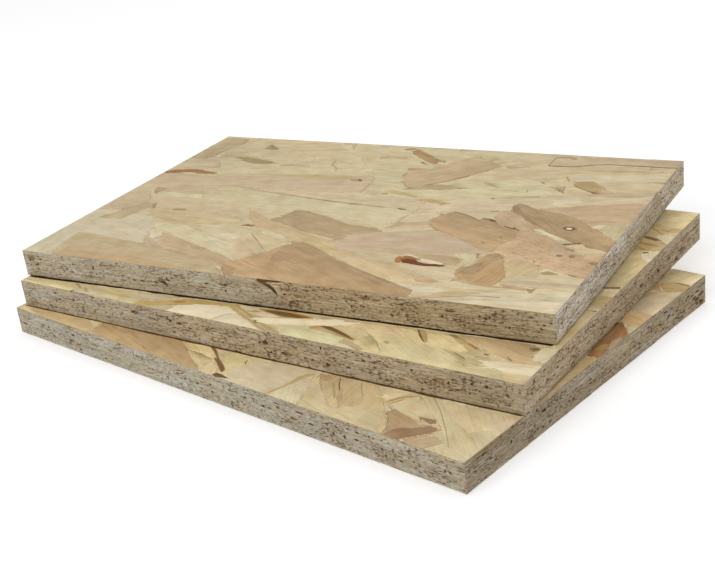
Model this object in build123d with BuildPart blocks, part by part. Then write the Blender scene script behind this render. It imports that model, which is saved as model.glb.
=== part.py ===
"""Three offcuts of oriented strand board lying flat on each other, each turned a
little further than the one under it, so that the long near edges fan out.

Frame: millimetres, +Z up. The origin is the centre of the bottom panel's
underside, +X runs along that panel's long side and +Y across it.
"""

import math
import os

from build123d import *

# Board: every panel is cut from the same sheet stock.
LENGTH = 305.0  # long side
WIDTH = 201.0  # short side
THICK = 15.0  # pressed thickness
CORNER_R = 0.8  # upright corners, dulled by the saw and by handling
ARRIS = 0.4  # broken edge round both faces

# Where each panel's centre lies on the plane, and how far it is turned.
BOTTOM_AT, BOTTOM_TURN = (0.0, 0.0), 0.0
MIDDLE_AT, MIDDLE_TURN = (-10.1, 22.3), 6.9
TOP_AT, TOP_TURN = (-24.0, 41.5), 12.5


def panel_plane(at, turn, level):
    """The plane of a panel's underside: level counts the panels beneath it."""
    a = math.radians(turn)
    return Plane(
        origin=(at[0], at[1], level * THICK),
        x_dir=(math.cos(a), math.sin(a), 0),
        z_dir=(0, 0, 1),
    )


# Bottom panel, flat on the floor.
with BuildPart() as panel_bottom:
    with BuildSketch(panel_plane(BOTTOM_AT, BOTTOM_TURN, 0)):
        Rectangle(LENGTH, WIDTH)
    extrude(amount=THICK)
    fillet(panel_bottom.edges().filter_by(Axis.Z), radius=CORNER_R)
    chamfer(
        panel_bottom.faces().sort_by(Axis.Z)[-1].edges()
        + panel_bottom.faces().sort_by(Axis.Z)[0].edges(),
        length=ARRIS,
    )

# Middle panel, flat on the bottom one.
with BuildPart() as panel_middle:
    with BuildSketch(panel_plane(MIDDLE_AT, MIDDLE_TURN, 1)):
        Rectangle(LENGTH, WIDTH)
    extrude(amount=THICK)
    fillet(panel_middle.edges().filter_by(Axis.Z), radius=CORNER_R)
    chamfer(
        panel_middle.faces().sort_by(Axis.Z)[-1].edges()
        + panel_middle.faces().sort_by(Axis.Z)[0].edges(),
        length=ARRIS,
    )

# Top panel, flat on the middle one.
with BuildPart() as panel_top:
    with BuildSketch(panel_plane(TOP_AT, TOP_TURN, 2)):
        Rectangle(LENGTH, WIDTH)
    extrude(amount=THICK)
    fillet(panel_top.edges().filter_by(Axis.Z), radius=CORNER_R)
    chamfer(
        panel_top.faces().sort_by(Axis.Z)[-1].edges()
        + panel_top.faces().sort_by(Axis.Z)[0].edges(),
        length=ARRIS,
    )

os.makedirs("parts", exist_ok=True)
for name, piece in (
    ("panel_bottom", panel_bottom),
    ("panel_middle", panel_middle),
    ("panel_top", panel_top),
):
    piece.part.label = name
    export_step(piece.part, f"parts/{name}.step")
    box = piece.part.bounding_box()
    print(name, "volume mm3", round(piece.part.volume), "box", box.min, box.max)
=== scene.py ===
import math

import bpy
import numpy as np
from mathutils import Matrix, Vector
from mathutils.geometry import delaunay_2d_cdt


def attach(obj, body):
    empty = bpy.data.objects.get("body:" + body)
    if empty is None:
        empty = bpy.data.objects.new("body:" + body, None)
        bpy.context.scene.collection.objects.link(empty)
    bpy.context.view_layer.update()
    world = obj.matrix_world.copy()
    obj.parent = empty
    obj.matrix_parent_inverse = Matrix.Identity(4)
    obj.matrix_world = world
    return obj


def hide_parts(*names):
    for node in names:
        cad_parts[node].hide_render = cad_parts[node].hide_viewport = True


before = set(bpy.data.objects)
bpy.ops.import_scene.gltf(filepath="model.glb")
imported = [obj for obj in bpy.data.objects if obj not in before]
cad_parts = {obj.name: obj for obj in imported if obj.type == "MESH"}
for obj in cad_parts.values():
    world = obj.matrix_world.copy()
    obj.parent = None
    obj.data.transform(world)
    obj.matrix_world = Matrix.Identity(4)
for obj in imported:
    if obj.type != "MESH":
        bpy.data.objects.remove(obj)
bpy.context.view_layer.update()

# ---------------------------------------------------------------- the panels
# Millimetres here; the pieces are made in metres at the end.
LONG, WIDE, THICK = 305.0, 201.0, 15.0
ARRIS = 0.28                      # width of the worn arris on every edge
PANELS = {                        # name: (CAD node, centre x, y, level, turn)
    "board_bottom": ("panel_bottom", 0.0, 0.0, 0, 0.0),
    "board_middle": ("panel_middle", -10.1, 22.3, 1, 6.9),
    "board_top": ("panel_top", -24.0, 41.5, 2, 12.5),
}
LIFT = {"board_bottom": 0.18, "board_middle": 0.25, "board_top": 0.4}   # broken-away lower arris, mm
UNITS = 4.66346                   # drawing units of the face plans, per mm

# ---------------------------------------------------------------- wood tones
TONES = {                         # sRGB, 0-255
    "cream": (214, 199, 163),
    "white": (224, 212, 181),
    "pale": (207, 195, 164),
    "straw": (205, 191, 153),
    "yellow": (208, 192, 146),
    "sand": (199, 181, 146),
    "tan": (188, 167, 130),
    "tanbrown": (181, 154, 115),
    "brown": (172, 146, 111),
    "dark": (110, 82, 48),
    "pinkcream": (202, 187, 156),
    "pinksand": (196, 177, 144),
    "pinkgrey": (197, 177, 148),
    "pinktan": (191, 166, 132),
    "greytan": (180, 162, 127),
    "greybrown": (174, 151, 115),
    "olive": (160, 142, 98),
    "golden": (193, 168, 117),
    "goldsand": (200, 178, 137),
    "goldbrown": (168, 138, 84),
    "honey": (178, 128, 64),
    "orangetan": (186, 153, 108),
    "rust": (148, 98, 62),
    "redbrown": (163, 122, 80),
    "cocoa": (152, 124, 94),
    "bark": (112, 54, 0),
}


def linear(tone):
    c = np.array(tone, float) / 255.0
    return np.where(c <= 0.04045, c / 12.92, ((c + 0.055) / 1.055) ** 2.4)


TONE = {name: linear(value) * (1.065, 1.055, 1.045) for name, value in TONES.items()}

# ------------------------------------------------------- strands set one by one
# Each line: tone | outline in drawing units, x from the left end, y from the
# far edge | options. Later lines lie over earlier ones. Options: r rim
# darkness, c grain contrast, s speckle, w slope width, a grain angle, l tone
# factor (on the lower boards it also holds painted shade on the strips under
# the boards above and painted light next to the joints), g tone drift to the
# right along the grain, n the same across it, f a border that fades over that
# many mm, h a warmer (+) or colder (-) hue, k width of an open line in mm.
TOP = """
straw | -25,-17 1444,-27 1444,957 -16,965 | a 4 g -0.01 n 0.08 l 0.970 h 0.017
sand | -23,-15 467,-18 457,63 321,104 273,174 146,165 103,205 82,133 | g 0.11 n 0.16 l 1.032
straw | 372,-14 1092,-26 1082,116 974,127 936,174 882,239 848,397 740,366 673,301 624,221 547,132 459,66 | g -0.04 n 0.04 l 0.985
sand | 1014,-22 1442,-25 1442,117 1298,110 1171,148 1161,297 1025,278 976,199 961,120 | l 1.061
straw | -21,206 146,175 487,153 624,201 649,263 439,284 361,298 196,333 99,304 -20,315 | g 0.11 n -0.11 l 0.981
straw | 458,217 624,206 878,249 1171,188 1171,327 976,370 849,398 674,390 656,263 | g 0.03 n -0.01 l 1.03 h -0.02
pinkcream | 879,408 976,368 1171,317 1318,267 1442,231 1442,316 1318,341 1181,396 1123,417 1084,437 947,467 884,497 | g -0.01 n 0.01 l 1.035 h 0.016
sand | 674,385 840,393 884,408 884,497 850,478 684,469 547,440 430,411 | g -0.03 n -0.04 l 1.121 h -0.024
straw | 226,442 586,447 884,467 884,606 684,558 548,544 461,598 179,610 149,561 | g -0.03 n -0.05 l 1.028 c 0.55
cream | 548,499 859,478 879,557 848,598 782,569 684,548 577,529 | l 0.983
straw | 86,482 236,473 258,506 212,529 120,523 100,507 | l 1.040 h -0.041
sand | 91,522 256,506 470,544 490,569 461,598 296,599 150,600 116,571 | g 0.02 n 0.05 l 1.045 c 0.55
straw | 413,658 549,637 685,696 676,755 550,854 423,796 394,717 | l 0.991 c 0.55
sand | 939,842 1172,831 1442,790 1442,850 1289,880 1090,915 987,872 | a 6 l 1.2 h -0.015
cream | 1075,876 1442,830 1442,955 1056,957 | a 7 g 0.05 n 0.10 l 1.0 h -0.05
pinksand | -19,473 61,478 101,531 120,567 150,580 130,602 63,632 -17,650 | g -0.11 n -0.01 l 1.032 h -0.011 c 0.55
pinkcream | -17,641 63,632 131,648 179,640 238,681 260,738 278,787 299,822 200,813 74,800 -16,798 | r .12 g 0.02 n -0.00 l 1.062 h -0.021 c 0.55
pale | -16,798 70,798 84,857 104,962 -14,963 | g -0.00 n -0.07 l 0.988 h -0.028
straw | 234,683 423,687 491,697 535,738 594,856 472,807 336,753 297,735 260,730 | r .2 a -22 g 0.00 n -0.03 l 1.056 h -0.013 c 0.55
cream | 423,732 510,697 538,741 518,790 472,774 | a -20 g 0.02 n 0.00 l 1.020 h -0.033
cream | 256,733 297,735 330,787 287,785 272,759 | r .15 l 1.062 h -0.058
greytan | -23,12 91,18 96,61 85,98 82,133 68,195 61,208 -21,211 | l 1.104 r .15 g 0.11 n 0.15
sand | 39,210 103,205 137,244 147,266 108,300 60,292 -20,305 -21,217 | r .1 g -0.14 n -0.06 l 1.013
greytan | 94,24 99,66 83,106 78,137 72,134 79,102 91,66 | l .93
greybrown | 37,158 60,155 74,173 68,201 49,197 35,183 | l 1.045 h 0.011
sand | 185,105 321,100 390,124 409,173 292,184 180,163 146,170 | c .6 g 0.05 n -0.03 l 1.051
olive | 193,95 192,71 192,57 197,51 219,69 248,92 234,98 213,100 | l .98 f .5
olive | 136,178 156,170 203,176 245,187 284,194 304,204 285,217 242,215 209,207 176,194 | r .2 l 1.0 h 0.02
brown | 177,196 209,207 242,215 286,219 268,223 240,223 207,214 | l .85 f .3
greytan | 326,213 364,208 369,219 337,229 328,226 | l 1.014
pinksand | 366,208 419,203 423,222 369,222 | l 0.992 h 0.013
greytan | 126,274 147,262 158,271 137,281 | l .96
straw | 99,304 322,249 458,224 624,203 652,257 439,283 361,298 196,334 148,334 | r .12 c .7 g 0.06 n 0.09 l 1.017
pinksand | -20,346 99,337 196,339 323,314 361,295 439,284 644,257 656,263 665,300 674,340 681,386 547,399 430,412 275,403 129,434 -19,445 | r .28 a 5 g 0.02 n -0.05 l 1.035 c 0.55
golden | 426,287 546,270 591,263 599,286 547,300 459,305 418,299 | r .1 l 1.055 h -0.030
golden | 367,295 426,287 420,300 381,302 | l 0.944 r .1 h -0.011
redbrown | -2,336 22,312 61,302 103,300 140,307 171,312 157,327 112,323 72,326 51,337 16,348 | r .3 l 0.92 h 0.05
rust | 4,333 28,316 70,305 104,307 73,318 39,330 | l 1.25 f .5 h .05
tanbrown | 102,324 134,313 171,312 178,321 146,330 113,334 | l .86 h 0.02
redbrown | 106,319 141,314 173,315 171,327 140,328 | l .84 f .5 h .04
greybrown | 597,292 627,286 641,299 632,303 603,302 | l .95
dark | 619,285 629,286 637,298 628,298 | l 1.1
pinksand | 90,435 236,422 267,441 297,471 205,483 98,478 | r .1 g 0.03 n -0.03 l 1.007 c 0.55
greybrown | 65,455 96,450 106,462 101,478 93,504 71,478 | l 1.013 h -0.019
straw | 279,403 355,416 470,435 586,448 684,457 781,464 854,469 884,489 865,529 848,596 782,568 684,544 567,520 529,540 446,545 431,500 333,441 | r .1 a -6 g 0.05 n -0.04 l 1.058 h -0.019 c 0.55
brown | 276,400 354,413 469,431 586,446 685,456 781,462 810,468 785,469 688,462 590,453 473,437 358,418 | l .98
dark | 824,464 839,463 854,466 855,474 841,474 | l 1.7 f .3
greytan | 109,574 140,567 157,592 140,611 133,641 123,690 52,692 61,669 80,641 72,623 96,600 | r .2 l 1.066 g -0.06 n -0.05 h -0.015
greybrown | 143,563 151,569 159,585 168,602 155,597 146,581 | l 0.904
cream | 37,641 74,635 81,650 63,669 43,661 | r .1 l 0.970
goldsand | 169,626 150,602 296,592 412,600 463,619 473,639 422,664 296,679 248,670 199,650 | r .15 l 1.049 g 0.05 n -0.01 h -0.032
golden | 259,663 296,666 325,662 321,674 286,678 259,673 | r .05 l 1.047 h -0.023
orangetan | 220,595 234,586 261,586 265,597 246,602 228,603 | l .78 f .5 h .05
tan | 64,798 113,796 200,809 288,822 326,832 414,846 550,880 643,959 99,962 84,896 76,857 | r .22 a -4 g -0.03 n -0.03 l 1.075 h -0.027 c 0.7
tan | 299,787 322,745 340,754 414,787 472,808 550,838 601,863 628,899 550,880 414,846 297,819 287,798 | r .25 l 1.073 a -20 g -0.06 n 0.00 c 0.7
pinkgrey | 283,785 326,783 338,828 297,818 | r .08 l 1.002
tanbrown | 114,901 327,900 395,906 473,923 628,959 104,962 | c .5 l 1.16 r .08 h -0.05
greybrown | 421,796 472,810 546,838 530,841 443,817 | r .05 l 1.163 h -0.030
greybrown | 568,535 579,527 626,539 684,557 753,588 821,597 866,607 850,637 811,652 792,686 773,691 724,682 685,662 636,643 587,623 544,611 541,598 558,574 563,554 | r .3 l 1.105 g 0.10 n -0.04
redbrown | 479,657 495,647 521,644 532,650 516,660 489,660 | l .88 f .5 h .05
brown | 488,654 505,649 519,651 505,657 | l .55 f .3 h .04
goldsand | 446,560 480,570 544,611 636,643 685,667 782,696 812,736 880,765 977,794 1036,823 1087,843 1017,864 939,843 861,799 812,765 724,731 685,719 627,697 549,668 529,658 471,599 | r .12 a -22 g 0.06 n -0.05 l 1.022 c 0.7
golden | 675,696 744,707 812,744 783,750 724,728 | c .6 r .05 l 1.135 h -0.065
cream | 549,666 588,678 637,697 668,731 627,722 568,697 | r .12 l 0.981 h -0.014
cream | 685,664 719,672 775,686 763,696 714,682 | r .2 l 0.922 h 0.031
pinkgrey | 788,686 793,652 850,622 938,597 1006,586 1074,616 1172,664 1162,684 1104,699 1075,714 938,730 860,730 812,750 794,716 | r .12 a 5 g -0.01 n -0.02 l 0.998 h 0.013 c 0.7
sand | 537,696 588,740 642,794 655,796 627,825 600,855 559,826 517,791 522,747 | r .15 g -0.08 n -0.04 l 1.044 c 0.7
straw | 541,689 588,697 676,741 658,776 639,792 588,741 | r .15 a -35 g 0.01 n -0.02 l 0.977 h 0.037 c 0.7
brown | 531,688 561,715 590,741 617,766 645,791 642,792 611,764 584,739 557,715 | l .85
tanbrown | 654,771 676,741 685,721 724,728 783,757 822,785 861,802 909,829 963,853 1017,872 1090,906 1095,957 638,959 589,899 565,885 600,857 627,825 642,796 | r .3 s .12 a -24 c 1.3 g -0.01 n -0.20 l 1.01 h 0.021
brown | 589,886 628,898 648,944 677,959 638,959 593,901 | l 1.026 r .2 c .8 h 0.029
brown | 674,783 728,794 732,824 701,846 676,830 | l 0.966 r .04 s .1 a -24 h 0.071
brown | 848,801 875,809 922,833 982,859 1024,878 1023,886 981,868 921,840 874,816 | l .98 f .3
pinktan | 859,595 872,562 888,545 948,534 972,563 919,575 877,588 | r .2 g 0.02 n -0.21 l 1.09 h -0.02
cream | 858,613 878,589 920,576 977,567 994,581 955,593 896,609 | r .1 l .95
cream | 884,497 939,467 965,497 949,542 884,548 869,543 | r .15 g 0.01 n 0.11 l 0.93
crack | 885,496 875,518 875,552 | k .18
pinktan | 1179,397 1220,382 1269,362 1357,327 1442,310 1442,456 1367,471 1337,476 1269,446 1210,422 | r .15 a 12 g 0.01 n 0.02 l 1.051 h 0.0
pinktan | 1091,434 1121,420 1151,442 1186,478 1236,519 1217,539 1192,545 1169,525 1135,515 1111,498 1095,472 | r .2 l 1.008 g -0.03 n 0.04
olive | 1065,435 1088,428 1091,434 1077,439 | l 1.0 f .3
tanbrown | 982,457 1021,471 1042,483 1066,500 1070,486 1092,499 1112,501 1136,518 1164,531 1185,543 1197,559 1189,598 1173,643 1170,671 1141,666 1078,623 1032,593 992,577 965,554 947,527 954,502 966,481 | r .3 s .25 l 1.075 a -18 g -0.01 n -0.15 h 0.0
brown | 980,454 1019,467 1040,478 1064,495 1069,493 1068,481 1081,480 1105,487 1111,504 1088,496 1074,492 1069,505 1043,487 1022,476 985,462 | l .68 f .3
dark | 1087,487 1094,484 1106,492 1113,505 1102,500 1090,495 | l 1.2
pinktan | 1186,542 1216,538 1258,557 1312,593 1338,634 1386,646 1441,677 1442,772 1348,749 1308,731 1260,710 1202,689 1171,673 1173,643 1189,598 | r .2 s 1 a -16 g -0.06 n -0.19 l 1.12 h 0.014
dark | 1135,515 1149,520 1163,527 1168,521 1174,530 1189,539 1184,542 1172,534 1163,534 1143,524 | l 1.15 f .25
tanbrown | 1109,384 1120,372 1138,377 1164,394 1193,407 1240,418 1275,431 1307,452 1337,478 1367,502 1395,532 1442,557 1441,638 1367,604 1336,582 1316,572 1281,552 1257,535 1228,510 1201,488 1174,469 1154,448 1132,431 1115,409 | r .3 l 0.97 a -32 c 1.5 g 0.10 n 0.05 h 0.0
tanbrown | 1115,411 1111,389 1123,391 1145,421 1169,448 1197,475 1225,503 1256,532 1282,554 1258,539 1230,513 1202,491 1176,473 1154,451 1133,434 | l .68 a -33 f .3 h 0.02
brown | 1152,412 1177,430 1202,449 1238,485 1269,524 1293,556 1291,556 1267,526 1237,490 1201,454 1176,434 | l .85 f .2
knot | 1294,503
cream | 1213,521 1235,521 1263,541 1289,556 1316,569 1307,578 1281,566 1255,552 1238,537 1220,535 | l 1.04 r .3
dark | 1306,592 1327,584 1350,576 1352,582 1332,590 1318,599 | l 1.3
cream | 1328,599 1355,585 1367,599 1442,621 1442,626 1376,629 1355,624 | r .2 l 0.956 h 0.055
goldsand | 1378,634 1442,626 1442,660 1396,665 1380,658 | r .15 l 0.984 h 0.037
orangetan | 1397,680 1408,671 1421,673 1422,690 1412,691 | l .72 f .4
cream | 1337,481 1351,468 1369,460 1372,468 1369,487 1364,496 1347,494 | r .15 l 1.0
straw | 1371,466 1419,445 1445,454 1441,552 1409,547 1368,506 | r .05 l .96
brown | 1317,656 1321,650 1332,652 1336,660 1326,665 | l .62 f .4
brown | 1345,654 1350,646 1361,649 1362,662 1352,664 | l .72 f .6
brown | 1318,612 1330,610 1350,622 1349,632 1336,628 1324,620 | l .92 f .8
brown | 1126,618 1135,622 1136,631 1127,629 | l .95 f .5
brown | 1155,581 1162,581 1163,590 1156,589 | l .8 f .5
brown | 1279,694 1288,697 1289,705 1282,704 | l .98 f .5
brown | 1297,714 1308,720 1306,727 1296,723 | l .95 f .5
brown | 1220,662 1227,662 1228,671 1221,671 | l .95 f .5
tan | 963,729 1075,714 1109,719 1128,739 1123,759 1075,759 1036,749 1016,734 | r .12 l 0.990 g -0.11 n -0.05 h 0.027
cream | 1092,699 1138,689 1158,714 1153,753 1128,758 1123,729 1109,719 | r .2 l 0.971
straw | 1123,729 1152,735 1151,756 1128,758 | r .05 l 0.963
brown | 1138,686 1153,687 1153,701 1155,714 1152,713 1148,699 | l .85 f .25
cream | 975,778 1099,777 1138,783 1149,813 1174,837 1104,842 1075,833 1046,813 | r .1 g 0.06 n 0.05 l 0.965 h 0.012
orangetan | 1142,809 1136,785 1135,771 1157,756 1161,734 1163,704 1167,686 1179,679 1203,680 1221,719 1243,769 1255,783 1253,805 1250,821 1240,840 1218,842 1193,838 1173,825 1152,819 | r .22 a 70 c 1.5 s .3 l 1.06 h -0.02
tanbrown | 1135,777 1150,761 1164,744 1174,730 1192,749 1190,777 1179,796 1160,801 1144,797 | f 1.1 l .84 h 0.03 a 70 c 1.4
tanbrown | 1164,701 1170,687 1197,681 1210,699 1197,716 1181,723 | f 1.0 l 1.04 h -0.04 a 70
brown | 1203,839 1227,841 1242,834 1250,816 1250,832 1234,846 1215,846 | f .4 l 1.0
goldsand | 1207,688 1228,689 1282,707 1306,726 1316,751 1302,768 1261,792 1249,779 1230,739 | r .12 a 70 g -0.04 n 0.02 l 1.02
tan | 1053,838 1085,833 1125,847 1114,862 1075,860 | r .1 l 1.019 h 0.046
cream | 1313,730 1347,743 1386,755 1442,766 1442,796 1269,807 1319,777 | r .2 g 0.00 n 0.05 l 0.956
olive | 1317,754 1332,742 1350,743 1363,753 1346,761 1329,764 | l 1.14 f .4
pale | 1248,827 1269,807 1442,792 1442,822 1347,828 1279,831 | r .25 a 6 g 0.03 n -0.15 l 0.854 h 0.068
tan | 1256,830 1286,830 1309,832 1331,837 1328,848 1302,848 1272,842 | f .5 l 1.0 h 0.05
orangetan | 1148,827 1240,841 1299,842 1240,851 1172,839 | l 1.07 r .1
goldsand | 1121,910 1174,888 1211,878 1244,875 1219,897 1180,912 1141,927 | f .8 l 0.95 h 0.02
tanbrown | 1099,936 1149,924 1219,897 1283,889 1285,893 1221,901 1151,929 1101,941 | l .92 f .3
cream | 1093,916 1133,906 1145,916 1104,944 | r .1 l 0.933 h 0.033
goldsand | 1123,875 1270,863 1368,853 1300,870 1172,888 | l 1.06 r .05 h -0.02
white | 1114,957 1221,915 1367,887 1442,879 1442,955 | r .15 a 9 l 0.902 h 0.029
honey | 978,774 970,754 974,741 988,743 994,757 993,774 988,781 | l 0.88 f .4 h 0.05
white | 982,732 997,725 1023,738 1030,747 1008,743 990,742 | l .95 f .3
white | 1027,742 1058,748 1092,757 1093,765 1064,765 1037,756 | l .95 f .3
bark | 984,756 989,746 1003,743 1014,746 1034,762 1049,766 1075,767 1097,766 1100,772 1080,778 1057,782 1037,781 1014,776 999,775 | w .4 l 1.0
honey | 984,751 991,744 1004,746 998,754 990,758 | l .9 f .4
honey | 984,740 991,735 1005,737 1021,744 1034,750 1021,754 1002,752 991,754 | l .66 f .35 h 0.05
orangetan | 628,27 646,19 668,19 673,29 654,35 636,38 | l .82 r .1 f .3
orangetan | 665,45 674,29 703,51 736,75 760,93 780,109 781,131 775,137 743,117 706,89 676,65 | r .35 l .77 a -42 c 1.3 h 0.03
brown | 765,96 783,102 796,104 801,119 787,118 777,114 | l .85
golden | 673,28 677,23 731,64 776,97 794,102 800,114 781,110 737,76 680,36 | l .85 r .25
olive | 727,123 739,126 760,144 747,141 735,135 | l .88 f .3
tan | 790,175 811,143 822,108 842,86 857,63 867,56 906,71 946,101 971,119 956,138 938,166 917,199 883,241 859,264 837,286 812,306 792,330 767,305 748,284 743,257 727,240 733,224 723,195 758,189 | r .35 a 48 l 1.065 g -0.03 n 0.11
tanbrown | 714,177 748,170 791,174 797,182 758,189 724,195 | r .2 l 1.1
brown | 727,240 728,226 729,214 737,227 736,242 | l 1.0
olive | 859,265 874,248 897,221 911,202 911,215 892,237 870,263 845,285 825,298 | l .95 f .3
tan | 793,332 814,311 839,289 867,281 906,286 931,290 954,292 917,309 853,325 820,329 | r .3 l 1.03 h -0.01
greytan | 588,98 623,88 672,92 674,108 633,109 600,123 | r .15 l 1.139
tan | 793,332 814,311 839,291 868,284 907,287 931,291 954,293 917,309 853,325 820,329 | r .3 l .94 h -0.01
greytan | 472,159 479,157 487,192 517,216 523,238 515,234 509,214 482,198 | l 1.124 h -0.014
greytan | 457,-8 479,51 492,69 477,59 455,24 | l 1.175 r .05 h -0.014
golden | 733,347 766,349 798,359 843,377 843,386 805,379 773,369 744,368 | r .1 l 1.08 h -0.05 f .5
golden | 856,392 888,387 936,401 950,405 944,416 924,415 894,411 865,404 | r .12 l 1.03 f .5
olive | 732,372 753,369 756,380 738,382 | l 1.12
pinksand | 683,366 732,360 728,385 688,390 | r .05 l 1.071 h -0.021
brown | 919,416 935,410 939,419 928,423 | l 1.05
pinksand | 1086,27 1134,23 1203,13 1308,4 1461,-5 1444,64 1398,61 1364,59 1331,55 1288,61 1253,58 1217,61 1198,71 1177,88 1138,94 1088,94 1084,51 | r .15 l 1.02 a 6
brown | 1086,29 1101,22 1136,22 1148,29 1146,40 1133,39 1129,31 1104,32 1092,36 | l .95 f .3
brown | 1088,94 1087,30 1126,22 1128,27 1091,35 1092,95 | l .78 f .2
tan | 1200,78 1442,63 1442,89 1288,110 1171,120 1112,101 | r .15 a 8 g -0.04 n -0.02 l 1.187 h -0.043
brown | 1088,93 1115,93 1142,91 1170,86 1191,73 1220,63 1253,57 1288,58 1324,57 1363,57 1396,57 1421,55 1423,60 1398,62 1364,62 1326,63 1289,63 1254,62 1221,68 1192,79 1173,92 1145,97 1118,99 1092,98 | l 0.45 r .1 a 8 f .3
cream | 1176,170 1210,154 1442,93 1442,163 1347,183 1269,198 1200,214 | r .12 a 10 g -0.01 n 0.06 l 1.004 h -0.025
orangetan | 1377,172 1407,165 1425,166 1424,173 1398,175 | l 1.0
golden | 1202,218 1208,203 1225,197 1245,194 1259,203 1281,223 1296,241 1318,258 1302,270 1285,274 1271,270 1243,251 1214,232 | r .35 a -38 l .93 g .05 h -0.02
brown | 1201,216 1213,228 1240,247 1260,261 1263,267 1242,254 1214,236 | l .7
brown | 1257,258 1268,261 1280,266 1288,271 1279,278 1268,271 | l .55
goldsand | 1277,226 1296,241 1318,258 1302,270 1286,260 | l .99 r .05
olive | 1208,202 1225,195 1245,192 1258,201 1240,202 1216,208 | l 1.05
tan | 1143,241 1165,242 1189,236 1192,257 1200,284 1188,275 1163,259 | r .3 a -40 l .97 h 0.02
brown | 1173,256 1187,265 1200,283 1194,281 1179,266 | l .75
greybrown | 1113,215 1121,216 1135,232 1127,230 1118,223 | l .95
olive | 1164,163 1171,171 1187,201 1182,199 1170,179 | l 1.25 f .3
pinksand | 1259,278 1318,263 1442,232 1442,258 1347,286 1269,297 | r .08 a 14 l 0.957 h 0.026
cream | 1186,327 1269,307 1259,356 1205,366 | r .05 l 1.041 h -0.033
tanbrown | 1033,354 1040,348 1049,352 1044,359 1038,359 | l .72 f .3
greytan | 1049,352 1071,341 1104,331 1151,316 1153,320 1106,335 1073,346 | l .98 f .2
greytan | 975,115 986,115 1002,119 1019,119 1042,105 1045,113 1022,127 1005,134 990,132 | r .2 l .98
greytan | 966,242 989,250 1027,275 1027,281 999,268 973,253 | l 1.06 f .5
greytan | 1101,282 1107,282 1110,294 1103,294 | l 1.05
crack | 663,271 672,317 679,386 | k .14
tan | 1131,827 1159,825 1195,833 1240,841 1239,847 1197,847 1160,837 | f .9 l 1.0 h 0.02
tanbrown | 1320,839 1331,838 1335,831 1342,829 1339,845 1339,855 1331,854 | l .82 f .5
brown | 1377,747 1389,750 1406,758 1396,759 1381,752 | f .2 l .6
white | 1310,729 1328,732 1350,743 1365,754 1342,745 1319,737 | l 1.0 f .2
greybrown | 1358,65 1361,69 1361,91 1358,88 | l .95
crack | 1269,112 1366,97 1442,89 | k .2
"""

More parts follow.
